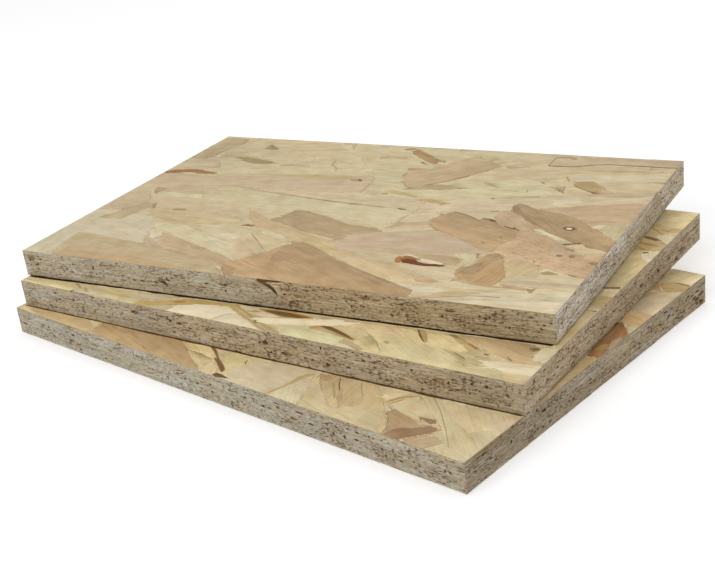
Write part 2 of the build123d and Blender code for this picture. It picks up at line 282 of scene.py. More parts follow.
MIDDLE = """
yellow | -17,876 1446,735 1446,963 -16,965 | a -12 l 0.855
yellow | 1301,-20 1447,-20 1446,963 1301,963 | a 70 g -0.40 n 0.40 l 0.817 h -0.012
yellow | -15,888 153,882 192,897 202,963 -14,963 | g 0.02 n -0.40 l 1.111 h -0.025
straw | 172,900 228,880 396,868 400,921 393,964 191,962 | l 1.0 a -12 g 0.05
brown | 161,899 165,894 180,901 198,913 196,919 180,910 | f .6 l 1.05
tanbrown | 204,911 214,910 231,922 231,930 216,922 | f .7 l 1.0
dark | 181,936 188,932 196,936 190,941 | l 1.0 f .3
golden | 241,906 285,902 335,905 375,912 342,918 292,916 | f .6 l 1.15 h -0.03
pinkcream | 360,878 438,871 510,862 480,882 420,904 385,902 | l 1.0 a 14
cream | 340,931 366,930 389,930 405,940 396,951 365,945 | f .4 l 1.02
goldbrown | 396,937 395,926 427,912 460,895 483,882 507,874 542,864 583,858 623,851 645,852 630,863 594,870 569,877 532,888 487,908 454,923 419,938 | r .25 l 1.46 a 24 h -0.08
honey | 480,893 491,883 510,877 515,886 497,897 | l 1.05 f .5 h -0.04
pinksand | 459,922 511,899 510,926 484,935 | l 1.05
white | 507,902 549,882 597,870 632,865 687,893 688,908 640,959 490,945 501,929 | r .12 l 1.04 a 12 c .5
white | 645,941 645,906 679,890 742,918 788,940 813,961 719,966 | r .12 l 0.99 c .5
yellow | 632,940 645,905 662,891 666,895 649,910 639,941 | l .93 f .3
cream | 664,854 714,847 818,840 866,838 742,882 702,876 | l 1.0 c .6
olive | 687,868 705,857 724,860 714,868 698,870 | f .5 l 1.1
goldbrown | 706,847 746,839 791,835 827,837 859,844 830,858 792,866 742,860 715,854 | l 1.15 f .3
golden | 627,859 643,850 671,863 706,880 735,895 768,908 800,919 843,937 844,948 805,941 770,928 729,909 682,886 644,870 | r .25 l .90 a -28
goldsand | 648,860 680,873 744,906 794,927 840,942 834,946 788,932 736,910 678,882 | l .96 a -28
dark | 735,905 740,899 750,903 753,911 745,913 | l 1.35 f .4
yellow | 863,856 940,827 1086,809 1223,875 1349,961 989,961 979,895 911,864 | r .12 a -28 l 1.072
cream | 940,829 1086,812 1096,846 1018,854 950,846 | r .08 a -24 g 0.11 n -0.15 l 0.98 h 0.08
yellow | 1086,846 1213,880 1301,924 1271,961 1096,961 1067,885 | l 1.075 r .1 a -30 g 0.07 n -0.03 h -0.026
yellow | 1133,815 1161,808 1190,808 1217,827 1260,857 1214,866 1170,860 1148,844 | r .05 l 1.14 a -28
crack | 1008,859 1031,870 1056,890 1083,919 | k .16
greytan | 1067,884 1070,877 1081,878 1084,887 1076,889 | f .7 l .95
yellow | 746,892 785,893 853,882 882,877 921,887 981,896 991,961 863,962 804,912 | l 1.151 r .15 a -10 g 0.07 n -0.12 h -0.078
dark | 721,848 753,844 790,841 819,842 847,846 829,855 794,861 761,859 734,854 | l 1.1 r .3 w .5
honey | 813,841 836,842 852,846 837,851 819,850 | l .62
white | 718,895 742,882 784,870 852,849 914,830 967,833 949,850 873,878 789,905 745,907 | r .2 l 1.10 a 13 c .4
goldbrown | 871,882 893,868 922,864 955,874 986,887 1007,902 992,901 967,898 931,892 896,890 880,891 | r .2 l 1.2 f .3
dark | 894,870 914,864 944,872 971,882 992,893 1007,903 988,897 962,890 931,881 909,876 | r .3 w .45 l 1.0
goldsand | 882,882 906,879 936,884 966,893 945,892 913,889 | l .92
pinksand | 977,912 999,906 1026,917 1050,929 1034,936 1004,925 978,921 | r .1 l .96
tanbrown | 1006,924 1027,925 1051,931 1039,938 1016,931 | f .4 l .98
white | 974,941 985,923 1005,927 1040,937 1079,938 1070,952 1030,952 999,950 | r .1 l .98
golden | 1104,807 1121,805 1139,823 1155,849 1152,856 1136,842 1117,822 | r .2 l .86 a -60
dark | 1103,806 1109,807 1124,824 1148,852 1153,857 1141,849 1122,830 | l 1.25 f .25
goldsand | 1203,797 1301,785 1369,781 1384,826 1398,845 1444,857 1444,877 1369,866 1310,847 1252,832 1223,812 | r .2 a -20 g 0.16 n -0.32 l 0.95 h 0.03
pinkcream | 1257,820 1272,824 1283,842 1267,837 | r .1 l 1.069
golden | 1180,804 1194,800 1217,810 1240,822 1266,834 1278,844 1261,841 1231,830 1205,817 | r .2 l 0.97 a -28
olive | 1173,804 1190,800 1209,809 1202,813 1183,808 | l .8
honey | 1234,822 1250,826 1271,839 1265,841 1240,830 | l 1.0 f .3
olive | 1362,797 1373,788 1385,791 1388,800 1380,811 1369,809 | l .8 f .3
dark | 1369,798 1379,791 1385,795 1377,805 | l 1.3 f .3
cream | 1388,784 1444,774 1444,841 1398,845 1384,826 | r .25 l 0.97 h -0.014
brown | 1338,846 1357,857 1355,861 1340,851 | l .72 f .3
tan | 1279,867 1310,863 1316,876 1286,882 | r .2 l 1.039 h 0.040
dark | 1291,851 1301,852 1299,858 1290,856 | l 1.2
crack | 1230,867 1247,877 1266,887 | k .4
white | 1289,882 1349,863 1444,853 1444,896 1369,910 1320,896 | r .3 a 12 g -0.11 n -0.11 l 0.955 h 0.022
goldsand | 1340,910 1444,899 1444,961 1359,961 | r .15 l 1.123 h -0.021
yellow | 1262,919 1310,900 1369,919 1378,961 1252,961 | r .1 g -0.08 n 0.02 l 0.978 h -0.023
yellow | 1340,-18 1445,-18 1445,128 1350,143 | l 1.12 a 60 g 0.40 n -0.40
golden | 1342,121 1363,110 1403,111 1436,120 1436,153 1400,155 1368,156 1342,147 | r .15 l 1.06 h -0.03 a 12
cream | 1375,173 1387,159 1401,145 1422,134 1425,180 1422,211 1404,209 | r .1 l 1.02
golden | 1349,181 1369,182 1399,194 1421,213 1426,245 1416,274 1385,269 1358,256 | r .2 l .98 c 1.6 a -40
goldsand | 1393,247 1420,212 1427,248 1417,276 | r .1 l .96
dark | 1349,178 1371,180 1401,193 1387,202 1359,194 | l 1.25 r .2
goldbrown | 1355,215 1381,217 1408,230 1387,233 1360,227 | l .95 f .3
goldbrown | 1357,244 1383,251 1404,263 1383,264 | l .95 f .3
goldbrown | 1340,115 1365,134 1393,161 1388,162 1363,141 1341,122 | l .95 f .3
goldbrown | 1373,130 1391,132 1407,116 1394,139 1376,137 | l 1.0 f .3
golden | 1327,53 1328,24 1337,26 1342,76 1343,110 1335,99 | l .92 f .5
cream | 1387,16 1425,11 1433,33 1430,45 1410,31 | l 1.05 f .4
yellow | 1354,264 1445,254 1444,470 1364,480 | l 1.0 a 75 g 0.40 n -0.40 h 0.014
white | 1383,285 1397,274 1414,269 1429,281 1429,306 1418,321 1400,312 | r .2 l 1.0
dark | 1384,272 1398,266 1399,273 1389,278 | l 1.25
rust | 1379,479 1416,466 1418,476 1383,487 | r .3 l .92 h 0.03
white | 1386,488 1418,477 1419,485 1389,496 | l .95
cream | 1388,492 1444,480 1444,522 1390,525 | r .1 l 1.005 h 0.022
olive | 1384,525 1444,523 1444,571 1388,574 | l 1.302 r .1 h -0.019
cream | 1393,576 1444,574 1444,596 1394,597 | r .1 l 0.868 h 0.048
crack | 1392,598 1444,596 | k .4
straw | 1388,599 1444,599 1444,786 1398,781 | l 0.89 a 80 h 0.070
"""

BOTTOM = """
straw | -20,890 1444,714 1444,963 -20,961 | a -12 l 0.979 h 0.018
straw | 1299,-18 1446,-18 1444,963 1299,963 | a 70 l 0.958 h 0.038
goldsand | -17,897 167,887 248,884 288,906 298,961 -18,958 | l 0.97 a 4 h 0.03
yellow | -18,918 62,911 111,960 -18,959 | r .1 l 0.98 h 0.02
cream | 237,886 278,880 290,897 287,912 262,900 | r .1 l 0.978 h 0.034
tanbrown | 286,874 325,864 441,853 549,853 590,875 666,910 724,930 749,960 306,960 292,905 | r .35 l 1.1 a -14 c 1.4 g 0.1 n -0.15 h 0.0
yellow | 549,855 636,835 687,874 707,895 719,960 675,920 627,900 590,875 | r .2 g -0.04 n 0.07 l 1.012 h 0.022
crack | 597,879 636,876 685,882 | k .3
cream | 688,889 720,899 740,925 734,960 698,960 | r .2 l 1.006 h 0.052
yellow | 685,835 812,818 823,846 782,876 775,960 740,925 720,895 | r .15 g -0.03 n -0.10 l 1.077
crack | 759,845 767,859 775,873 | k .4
pinkcream | 775,838 927,806 967,864 1007,960 782,959 765,886 | l 1.04 r .15 a -8 c .5
straw | 909,875 967,870 1006,961 919,960 | r .05 g 0.05 n -0.01 l 1.125 h -0.047
golden | 902,942 909,910 916,878 916,850 923,829 943,813 937,832 930,855 923,885 915,916 | l .92 f .25
dark | 634,842 642,837 669,852 695,871 732,891 751,906 750,917 730,906 708,891 680,877 689,874 661,856 | r .3 a -33 l 1.55 h 0.03
dark | 687,878 704,880 733,893 748,906 748,914 730,903 711,892 | l 1.25 f .3
dark | 736,932 743,922 757,921 787,928 766,935 750,938 | l .95
goldsand | 1037,790 1095,790 1126,818 1171,862 1224,919 1226,961 1152,961 1104,886 1083,837 | r .15 a -72 l 1.04 c .7
goldsand | 947,811 989,797 1041,783 1062,806 1105,853 1109,867 1102,883 1090,885 1085,898 1077,905 1062,906 1038,892 1009,870 966,835 | r .35 a -78 l .93 c 1.2 n 0.04
tan | 1000,801 1013,809 1046,849 1076,888 1077,898 1051,875 1014,828 | f .7 l 0.95 a -78 h 0.05
tanbrown | 947,811 973,808 990,817 982,831 965,831 | f .7 l .95
crack | 1001,806 1014,823 1034,846 | k .4
olive | 1000,831 1002,825 1039,862 1053,883 1026,860 | f .6 l 1.15
cream | 1104,782 1196,773 1174,807 1158,827 1138,822 | r .12 g -0.21 n -0.19 l 1.033 h 0.036
cream | 1113,789 1144,782 1173,779 1165,795 1148,813 1131,810 | l 1.02 f .3
straw | 1094,886 1174,866 1226,961 1084,961 | r .1 g -0.08 n -0.03 l 0.937 h 0.026
straw | 1187,775 1442,739 1442,961 1269,961 1313,876 1308,858 1260,827 1221,797 | r .15 a -40 l 1.012
cream | 1260,777 1442,749 1442,797 1367,846 1308,826 | r .06 a -42 g 0.15 n -0.11 l 0.947 h 0.033
olive | 1221,768 1268,806 1324,861 1394,939 1392,940 1322,862 1266,807 1221,771 | l 1.2
goldbrown | 1151,838 1153,821 1163,805 1180,790 1200,784 1184,795 1168,811 1160,827 | r .3 l 1.15 h -0.02
goldbrown | 1157,842 1163,828 1173,811 1181,805 1174,819 1166,834 | l 1.25 f .3
pinksand | 1277,901 1318,890 1349,900 1313,961 1277,961 | r .1 l 0.86 h 0.060
brown | 1176,865 1184,847 1202,853 1232,858 1265,872 1274,867 1255,856 1245,847 1262,845 1283,841 1292,852 1279,864 1304,864 1311,873 1302,891 1279,917 1261,940 1261,961 1226,961 1216,915 1196,883 | r .35 l 1.11 a -22 c 1.3 h 0.0
cocoa | 1226,931 1231,913 1242,898 1262,889 1274,877 1289,867 1305,866 1310,873 1301,889 1278,916 1262,938 1261,961 1230,959 | r .1 l 0.97 c 1.3 h 0.03
cocoa | 1247,847 1263,846 1283,842 1290,850 1279,861 1265,862 | l 1.02
cream | 1256,851 1269,855 1291,861 1287,865 1270,867 1260,862 | r .2 l 0.800 h 0.092
cream | 1362,910 1396,900 1442,924 1442,961 1367,961 | r .1 l 0.952
straw | 1339,-16 1444,-16 1443,77 1346,89 | a 70 g 0.25 n -0.40 l 1.09 h 0.038
golden | 1340,88 1375,73 1416,65 1434,89 1400,119 1355,129 | r .15 l .93 h 0.02
orangetan | 1341,99 1345,84 1362,86 1369,104 1359,119 | f .5 l 0.95
cream | 1358,103 1363,103 1388,131 1387,135 | l 1.0
brown | 1375,72 1392,66 1410,68 1430,77 1412,76 1393,74 | l .72
pinkcream | 1352,137 1397,117 1443,97 1443,246 1368,244 1356,165 | r .2 l 1.008 a 75 g 0.14 n -0.40 h 0.049
goldsand | 1360,250 1443,240 1443,315 1375,305 | r .15 l 0.932 h 0.088
redbrown | 1366,305 1387,309 1407,334 1429,354 1443,380 1443,473 1395,475 1379,403 | r .35 l 0.86 a -70 c 2.0 g 0.40 n 0.40 h 0.05 s 0.8
goldbrown | 1376,303 1383,302 1390,348 1394,396 1395,433 1386,435 | l 0.62 f 2.2 c 1.5
goldbrown | 1394,428 1398,410 1412,405 1418,428 1414,445 1395,445 | l 1.05 f 1.8 a -70
pinktan | 1405,393 1409,364 1421,368 1428,401 1426,429 1414,430 | l 0.8 f 2.4 a -70
cream | 1397,314 1443,309 1443,378 1412,339 | r .2 l 0.974
straw | 1392,475 1443,471 1442,738 1411,742 | a 80 l 0.800 h 0.120
"""

# ---------------------------------------------------- marks on the sawn sides, one by one
# Marks on the sawn sides that the photograph shows: distance from the near
# end, depth under the top arris, length, height (all mm) and a letter:
# p dark pit, b brown stain, r red-brown streak, o olive stain, t thin dark
# streak, l light fleck.
SIDE_TOP_LONG = """
168.5 4.2 6 1.6 b; 175 7 5 1.5 b; 166 8.6 3 1.5 b; 172 10.6 3.4 1.2 b; 180 3.6 4 1.2 b; 6 4 5 2.2 b; 4.6 5.2 2 1 p; 9 7.6 3 1 p; 12 4.4 1.6 1 p; 93.6 7.6 5 2.4 b; 95.6 9.4 3.6 1.4 p; 90 9.2 2.4 .9 p; 98 7.2 1.8 1.2 p; 212 3.6 6 1.8 b; 203 5 4 1.2 b
5.9 3.9 4 1.6 o; 10.1 6.9 1.2 1 p; 6.5 6.9 1 .7 b; 15.6 4.5 1.2 .7 o; 13.2 10.7 5 .6 o; 8.3 11.9 2 .8 o; 30.3 8.2 1.3 1 p
33.5 1.3 1 1 o; 35.2 4.9 1.2 .8 p; 33.7 9.5 2 1.4 o; 44.7 6.5 1.8 .7 o; 48.9 5.4 1.2 2 p; 57.4 3.4 14.5 .55 r; 63.5 2.9 2 .5 t
50.3 8.9 1 .8 p; 55.7 6.4 1.4 .8 o; 58.9 7.9 1 .7 o; 65.2 8.5 1.8 .9 r; 62.1 11.6 3.6 .8 b; 52.3 11.9 1.2 .8 b; 67.9 10.4 3.6 .6 t
68.9 7.9 1 .7 o; 75 9.5 2 .8 p; 72.3 8.9 1 .6 p; 80.9 9.3 3 1 p; 80.6 6.9 1.3 .7 o; 83.4 7.3 .8 .8 p; 84.8 9.2 1 1 p; 86.4 8.9 .9 .8 p
89.4 8.9 1.6 .8 t; 92.4 6.6 3 1.6 o; 94.8 8.8 3.6 1.3 p; 97 6.6 1.2 2 p; 96.5 10.5 1.4 .7 t
110.5 7.1 2 .7 o; 102.4 9.1 1.2 .7 p; 115.8 10.8 2.6 .6 t; 117.8 10.6 1 .8 p; 104.6 12.9 3.6 .6 b; 121.7 6.3 2.6 .8 p; 125.9 3.8 1.4 .5 o
130.5 5.6 5 .45 t; 133.9 5.2 2 .45 t; 131.6 7.4 2.6 .5 t; 132.9 8.9 1.3 1.5 p; 133.4 10.4 1 .7 o; 141.3 8.8 1.6 .8 o; 149.1 10.3 1.4 .8 o; 151.5 6.8 1.4 .6 o
167.7 6.8 2.2 1 p; 157.2 7.8 1.2 .8 o; 162.1 9.1 1 .8 o; 167.9 9.5 1.4 .7 b; 171.9 10.1 1.6 .9 p; 175 3.5 1.6 .7 b; 178.9 6.8 1.4 .8 o
184.3 7.3 2.2 .8 b; 187.7 12.1 2 .8 o; 180.4 11.1 2.2 .7 b; 191.4 12 2.6 .7 b; 195.5 11.1 1.4 .7 p; 196 9.2 1.2 .6 o; 201.7 6.4 .9 1.2 p; 201.4 3.8 1 .8 o
213.6 2.8 3.6 1.5 r; 217.5 4 4.6 1.3 r; 212.6 2.6 1.6 1 p; 207.6 2.7 1.6 1.2 b; 204.3 8.7 1.2 1.6 p; 210.7 8.2 1.6 1 p; 219.7 5.7 2 .7 b; 225.5 5.4 2 .7 t
227.3 4.4 1.4 .7 b; 230.7 2.2 5 .6 t; 225.3 10.7 1.6 1.4 p; 235 11.4 1.2 .9 o; 236.3 13.7 1.6 .6 t; 219.4 9.7 1.8 .8 b; 242.4 5.4 1.6 .6 b
248 5 1.8 .8 o; 251.2 7.8 1.2 1.9 p; 255.1 4.8 4.6 1 p; 253.5 3.9 1.2 .6 p; 244.1 10.7 2 .6 b; 241.5 11.8 1 .8 o; 249.7 13.7 1 .8 o; 260 9.4 4.2 .9 b
265.9 13 2.2 1 p; 270.8 9.4 10 .8 r; 269.5 5.7 .8 1.6 p; 272.2 6.5 1.6 1.4 p; 274.1 5.4 1 1.4 p; 276.7 9.4 1.2 .8 p; 280 7.2 1.2 .8 p; 280.6 4.4 1.2 .7 b
283.2 9.4 1 1.2 p; 283.9 13 1 .6 b; 287.1 5.4 1 .8 o; 291.7 4.7 1.2 .8 o; 299.5 6 1.4 1 p; 298.1 8.1 1.4 1 p; 296.9 9.6 1.4 .7 p; 302.7 4.7 1.2 .9 p
244.4 7.5 2 .6 o; 262.5 6.6 1 .8 o; 277.6 12 2 .6 b; 290.3 10.4 1.4 .8 o; 294.2 12.4 1.2 .8 o; 193.6 5.2 1.6 .6 o; 165.2 11.8 2 .8 b; 173 12.6 2.6 .7 b; 163.6 12.9 2 .6 o
"""
SIDE_MID_LONG = """
168 6.6 5.4 2.6 b; 169.6 6.2 3 1.8 p; 165.8 7 2 1.2 p; 181.6 10 6 1.8 b; 180 10 3.6 1.3 p; 84.5 4.8 5 1.8 b; 85 5.2 2.4 1 p; 115 6 6 1.6 b
4.9 6.5 4 .8 b; 9.5 3.5 1.6 .7 o; 26.4 3.5 2.6 .9 p; 24.9 1.9 1.4 .6 o; 19.6 4.9 1 1.2 o; 21.2 4.9 .8 .8 o; 36.2 5.4 7 .9 r; 39.9 5.4 1.8 1.1 p; 29.1 6.9 2 1 p
21 11.9 3.6 .9 o; 32.3 12.2 4.6 .8 b; 8.8 12 3 .6 o; 4.9 14.2 3.6 .5 b; 27 13.9 1.4 .6 b; 39.4 .4 1.6 .7 p; 48.6 5.2 1.6 .8 o; 46.2 8.4 1.6 .9 o; 55.4 8.5 1.8 .7 o
55.2 1.2 4 .7 t; 79.2 3.2 3 .8 o; 84.1 4.7 4 1.6 o; 83.6 5 2 1 p; 74.3 7.9 2.6 .7 o; 76.2 7 1.6 .6 o; 82.8 8.2 2 .6 o; 81.6 11 3 .7 b; 94.3 2.2 7 .8 r; 86.7 11.9 1.4 .6 o
96.3 6.4 6 1.2 o; 99.7 6.9 2 .9 o; 64.5 11.4 3.4 1 o; 12.7 8.6 3 .5 o
115.8 1.5 5.4 .7 t; 109 5.5 2 1.2 p; 107.5 4.2 1.2 .8 p; 115.2 5.8 2.4 1 p; 118.8 4.9 5 1.1 b; 121.7 7.4 2.6 1 p; 126.6 4.2 3 .5 t; 110.3 11.5 1.6 1 p; 105.4 11 1.6 .7 o
124.2 10.6 2.6 .6 r; 135.3 10.8 1.8 1.2 b; 135.3 10.8 1 .7 p; 145 6.1 4 .55 t; 137.8 6.1 1.2 1 o; 151.5 4.8 2.4 .6 t; 156.8 4.8 1.6 .6 o; 153.3 1.8 1.2 .6 o; 159.1 2.1 2 .6 o; 165.7 3.1 3.4 .6 b
169.1 6.4 3 1.7 p; 166.2 7.5 2.4 1 b; 166.6 7.3 1 .5 l; 168.5 10.1 2.2 .7 b; 172.1 10.8 1.4 1.1 p; 173.6 9.6 1 .8 o; 179.9 10 3 1 p; 182.8 10.2 3.6 1 b; 156.4 10.5 4 .7 o; 146.1 12.8 1.6 .8 o
186.1 3.5 1.4 .6 o; 186.7 5.5 2.6 .6 t; 193.1 3.1 1 .8 o; 201.9 3 .9 2 p; 198.4 6.5 3 .6 t; 196.5 5.2 1.4 .7 o; 192.6 11.5 3.6 .7 r; 196.5 10.2 2 .9 p; 194 14.3 1.8 .5 p; 175 13.6 2 .6 o; 160.3 13.2 2 .6 o
204 3 1.6 .7 b; 211.2 2.4 3 .7 t; 213.9 3.6 2 .5 t; 216.4 2.1 1.4 .7 p; 220 1.8 1.4 .7 p; 225.2 4.9 2.2 1.3 p; 221.9 5.4 4 .6 b; 208.8 6.8 1.6 .9 p; 218.5 7.4 3 .5 t
205 11 2.4 1.7 p; 203.7 12 1.6 .8 b; 211.8 9.4 1.2 .7 p; 216.5 10 3 .9 p; 213.5 12.8 2 .6 o; 232.4 4.4 1.2 .7 o; 243.8 9.8 1.8 .8 p; 246.2 9.9 1.2 .8 p; 244.9 9.9 4 .9 b; 250.5 4.5 1.5 1.1 p
255.1 12.9 1.6 1.1 p; 255.1 9.7 1.6 1 b; 264.4 6 5.6 1.3 b; 262 7 2.4 1.1 p; 258.3 8.4 2.4 1.6 l; 268.8 6.8 1.2 1.6 p; 271.2 5 1.6 1 p; 269.8 10.4 3 .7 p; 273.1 9.4 3 .7 p; 275.5 8.7 1 .7 p
279 9.7 1.4 .8 p; 276.9 8.9 1 .6 t; 280.3 3.4 1.4 .8 p; 280.6 4.8 1.6 .7 p; 282.2 7.4 1 .9 p; 283.9 7.7 1 .7 p; 287.4 5 1.7 1.5 p; 291.7 3.9 1.6 .8 b; 296.8 3.4 .8 2 b; 298.2 2.4 2.6 .7 b; 297.2 7 1.3 1.2 p; 299.5 3.4 .8 1.8 b
297.2 11.7 2.2 .8 o; 303 4.4 1.2 1.2 o; 289.4 11.9 1.4 .8 o; 285.4 12.6 1.2 .8 o; 292.3 12.8 1.4 1 o; 301.7 14.5 5 .5 t; 237.5 12.2 4 .6 o; 240.5 8 1.4 .8 o; 227.8 9 1.4 .8 o; 234.6 9 2 .6 o; 259.5 14 2 .6 b
"""
SIDE_BOT_LONG = """
6.2 4.5 1.8 .8 o; 9.8 5 2.2 .8 p; 5.9 8.5 4.4 .9 t; 10.3 8.6 2 .6 o; 23.5 5.4 4.6 1.1 o; 22 6.8 3 .8 o; 28.3 5.4 2.2 1 p; 29.8 8.8 4 1 b; 32 9.9 1.6 1.3 p; 23.2 11.2 1.8 .7 o; 13.7 12.4 3 .8 o
45.3 4.5 1.4 .9 o; 50.1 5.2 2.6 1.2 p; 47.2 9 2.8 1.1 p; 49.4 8.6 3.4 1 r; 54.5 12.5 1.7 1.1 p; 62.1 4.5 3.4 .7 o; 61.1 7 2.6 .6 o; 37.1 7.8 2.6 .6 o; 73.3 1.9 9.4 .5 t; 68.9 6.6 4 .9 o
80.6 6.7 3 1.4 o; 87 6.9 2 .7 o; 86 4 6 .45 t; 95.5 11.9 1.8 .9 o; 73 10.9 2.6 .7 o; 90.3 .7 2.4 .6 p; 97.8 10.2 2.6 .7 o; 81.1 11.4 1.6 1 o; 65.5 9.6 2 1 o
136.4 3.7 6.6 .5 r; 133.5 4 2 .5 t; 138.3 7.3 2.2 1.1 b; 138 7.6 1 .6 p; 147.1 7.5 1.6 1 p; 143.2 7.6 1.2 .8 b; 156.4 5.6 1.7 1.2 p; 157.2 9.3 1.8 .9 p; 160.3 11.1 3.4 1.3 b; 149.6 9.5 2.4 .9 o; 134.7 11.2 1.6 .7 p
111 11.3 4 .8 b; 125.1 10 1.6 1.4 o; 131 9.6 2 .7 o; 179.9 6.1 1.8 1.1 p; 185.7 6.3 1.2 .7 p; 191.6 7.1 2.8 1 p; 195.3 7 2.6 .5 t; 190.1 9.8 1.4 .7 p; 192.4 9.3 1 .6 p; 170.6 5 3.6 .6 o; 177.9 6 3 .6 o
200.9 3.1 4 .8 t; 201.4 5 2.6 1.4 o; 167.2 10 2 .8 o; 182.8 9.6 1.6 .6 o; 128.1 4.6 1.4 .5 o; 141.7 12.4 2 .6 o; 174.5 12.9 1.8 .6 o; 112.4 5.4 2 .6 o; 118.3 4 3 .5 o
214.6 3.9 5 .9 t; 221.6 7.7 3.2 .9 p; 210.7 8 4.4 1.6 o; 207.2 10.5 4 1.2 o; 228.2 7.7 2.6 .8 o; 231.1 8.2 1.6 .8 b; 234.6 8.6 1.6 1.3 p; 240.9 8 1.4 2 p; 236.6 4.4 1.2 1.4 o; 243.4 3.4 2.2 .7 p; 248.6 3.6 3 .8 p; 252.8 3.6 2.4 .6 t
255.1 3.5 1.6 .8 p; 257.5 3.6 1.2 .7 p; 262 3.2 1.2 .9 p; 265.9 3.2 1.2 .6 o; 247.8 7.4 3 1 p; 245.1 10.5 1.6 .8 b; 249.3 10.8 1.4 .7 b; 262 7.4 1.7 .9 p; 267.9 6.4 1.4 2 o; 268.8 8.6 1.6 1.6 o; 267.7 10.8 1.6 1.4 o; 272.2 10 3 .9 b; 271.8 10.1 1.6 .6 p
250.7 13 3.4 .6 b; 279.6 10.7 1.3 .7 p; 284.2 11 1 .7 p; 288.4 4.4 1.2 .8 o; 290.7 5 1 .7 p; 294.9 7.2 1 1.4 p; 297.4 7.2 1.4 1.2 p; 295.9 4.2 1 .6 p; 291.3 13.4 3.2 .8 b; 293.6 13.3 1 .9 p; 302.6 3.3 5 .6 t; 303 4.6 4 .5 t; 303.7 13.4 2 1.2 b
281.5 8.8 1.4 1.8 o; 278.1 6 1.6 .7 o; 299.6 10.4 1.6 1.4 o; 293.8 10.6 1.8 .8 o; 259.1 10.6 3 .7 o; 238.5 12.4 2.4 .7 o; 226.8 10.6 1.8 1 o; 256.1 6 2 .6 o
"""
SIDE_TOP_SHORT = """
12.6 3 2.6 1 p; 7.3 7.2 1.3 1 p; 2 9 1.4 1.6 o; 27.9 7 3 .9 p; 26.9 9.5 4 .7 t; 24.4 1.1 6 .5 t; 17.4 12.2 3 .8 p; 13.9 12.3 2 1 b; 27.2 12.2 2 .7 p; 45.5 10.1 1.8 .9 p; 59.7 8.2 5 .8 b; 63.2 9.4 3 .7 t; 66.4 8.5 2 .9 p; 66.7 6.9 1.4 .6 p
57 11.9 2.4 1 b; 77.6 9.5 2 .8 o; 81.6 4 3.6 1 o; 85.9 11.2 3 .9 p; 98.2 8.9 3 .6 t; 33.8 1.4 3 .6 b; 51.2 7 2.6 .6 o; 40.3 7.2 2.4 .7 o; 51.7 12.4 3 .6 b; 72.6 6 2 .7 o; 156.5 2.5 4 .9 p; 175.4 3.6 2.4 .7 o; 153.2 5.6 4 .6 b; 159.2 6.7 2.2 .8 p; 186.1 7.5 3 .8 p
147 12 2 1.6 b; 158.9 12.3 3 .8 b; 175.8 9.1 3.6 1.4 o; 163.5 9.5 3 1.2 o; 108.5 11 2.6 .8 o; 112.4 9.6 3 .6 o; 119.4 13.4 5 .6 b; 139.3 10.2 3 .7 o; 193 11 2 1 o; 179.1 3.8 2 .6 o; 106.5 3.6 3 .5 o; 130.4 12.6 3 .6 o
"""
SIDE_MID_SHORT = """
9.3 3.3 2 1.3 p; 18.6 2.7 2.6 .9 p; 8.7 5.9 1.2 .8 o; 30.8 7.2 2.2 .9 p; 35.8 5.4 2.2 .8 p; 21.2 8.5 2 1 p; 27.2 9.2 2.4 .8 p; 11.6 8.5 1.6 .7 p; 44.8 12.4 4.4 .8 t; 67.7 4.4 3 .8 p; 66.7 7.5 4 .7 b; 89.3 6.9 2.6 .8 p; 61.7 10 4.4 .6 t; 92 7 1.6 .6 p
46.8 5 4 1.2 o; 49.8 7.6 2 1 o; 34.8 9.4 3 .7 o; 96.5 10 3 .6 o; 75.6 12 4 .8 b; 114.4 3.5 3 1.1 p; 110.9 4.6 2 .7 b; 134.6 5 4.4 1 b; 134.3 5 2 .7 p; 157.9 8.5 3 1.2 p; 176.1 6.1 4 1 r; 190.4 5.2 4 1 p; 191.3 10.8 3 1 o; 103.5 4.6 2 .6 o; 142.3 8 3 .8 o; 149.3 10 3 .6 o; 167.2 6.6 5 .6 b; 183.1 4.6 3 .7 b
195.5 5.2 9 .7 t; 190.0 5.2 8 .7 r; 181.0 5.2 8 .6 t; 196.0 8.4 5 1.8 b; 185.0 9.2 7 1.5 r; 174.0 9.6 4.4 1.4 p; 171.0 9.6 3 .9 p; 175.0 10.8 6 2 b; 166.0 12.4 3.4 1.4 p; 143.0 9.2 4 1.4 p; 122.0 8.0 4 1.3 p; 192.0 8.8 4 .8 o
"""
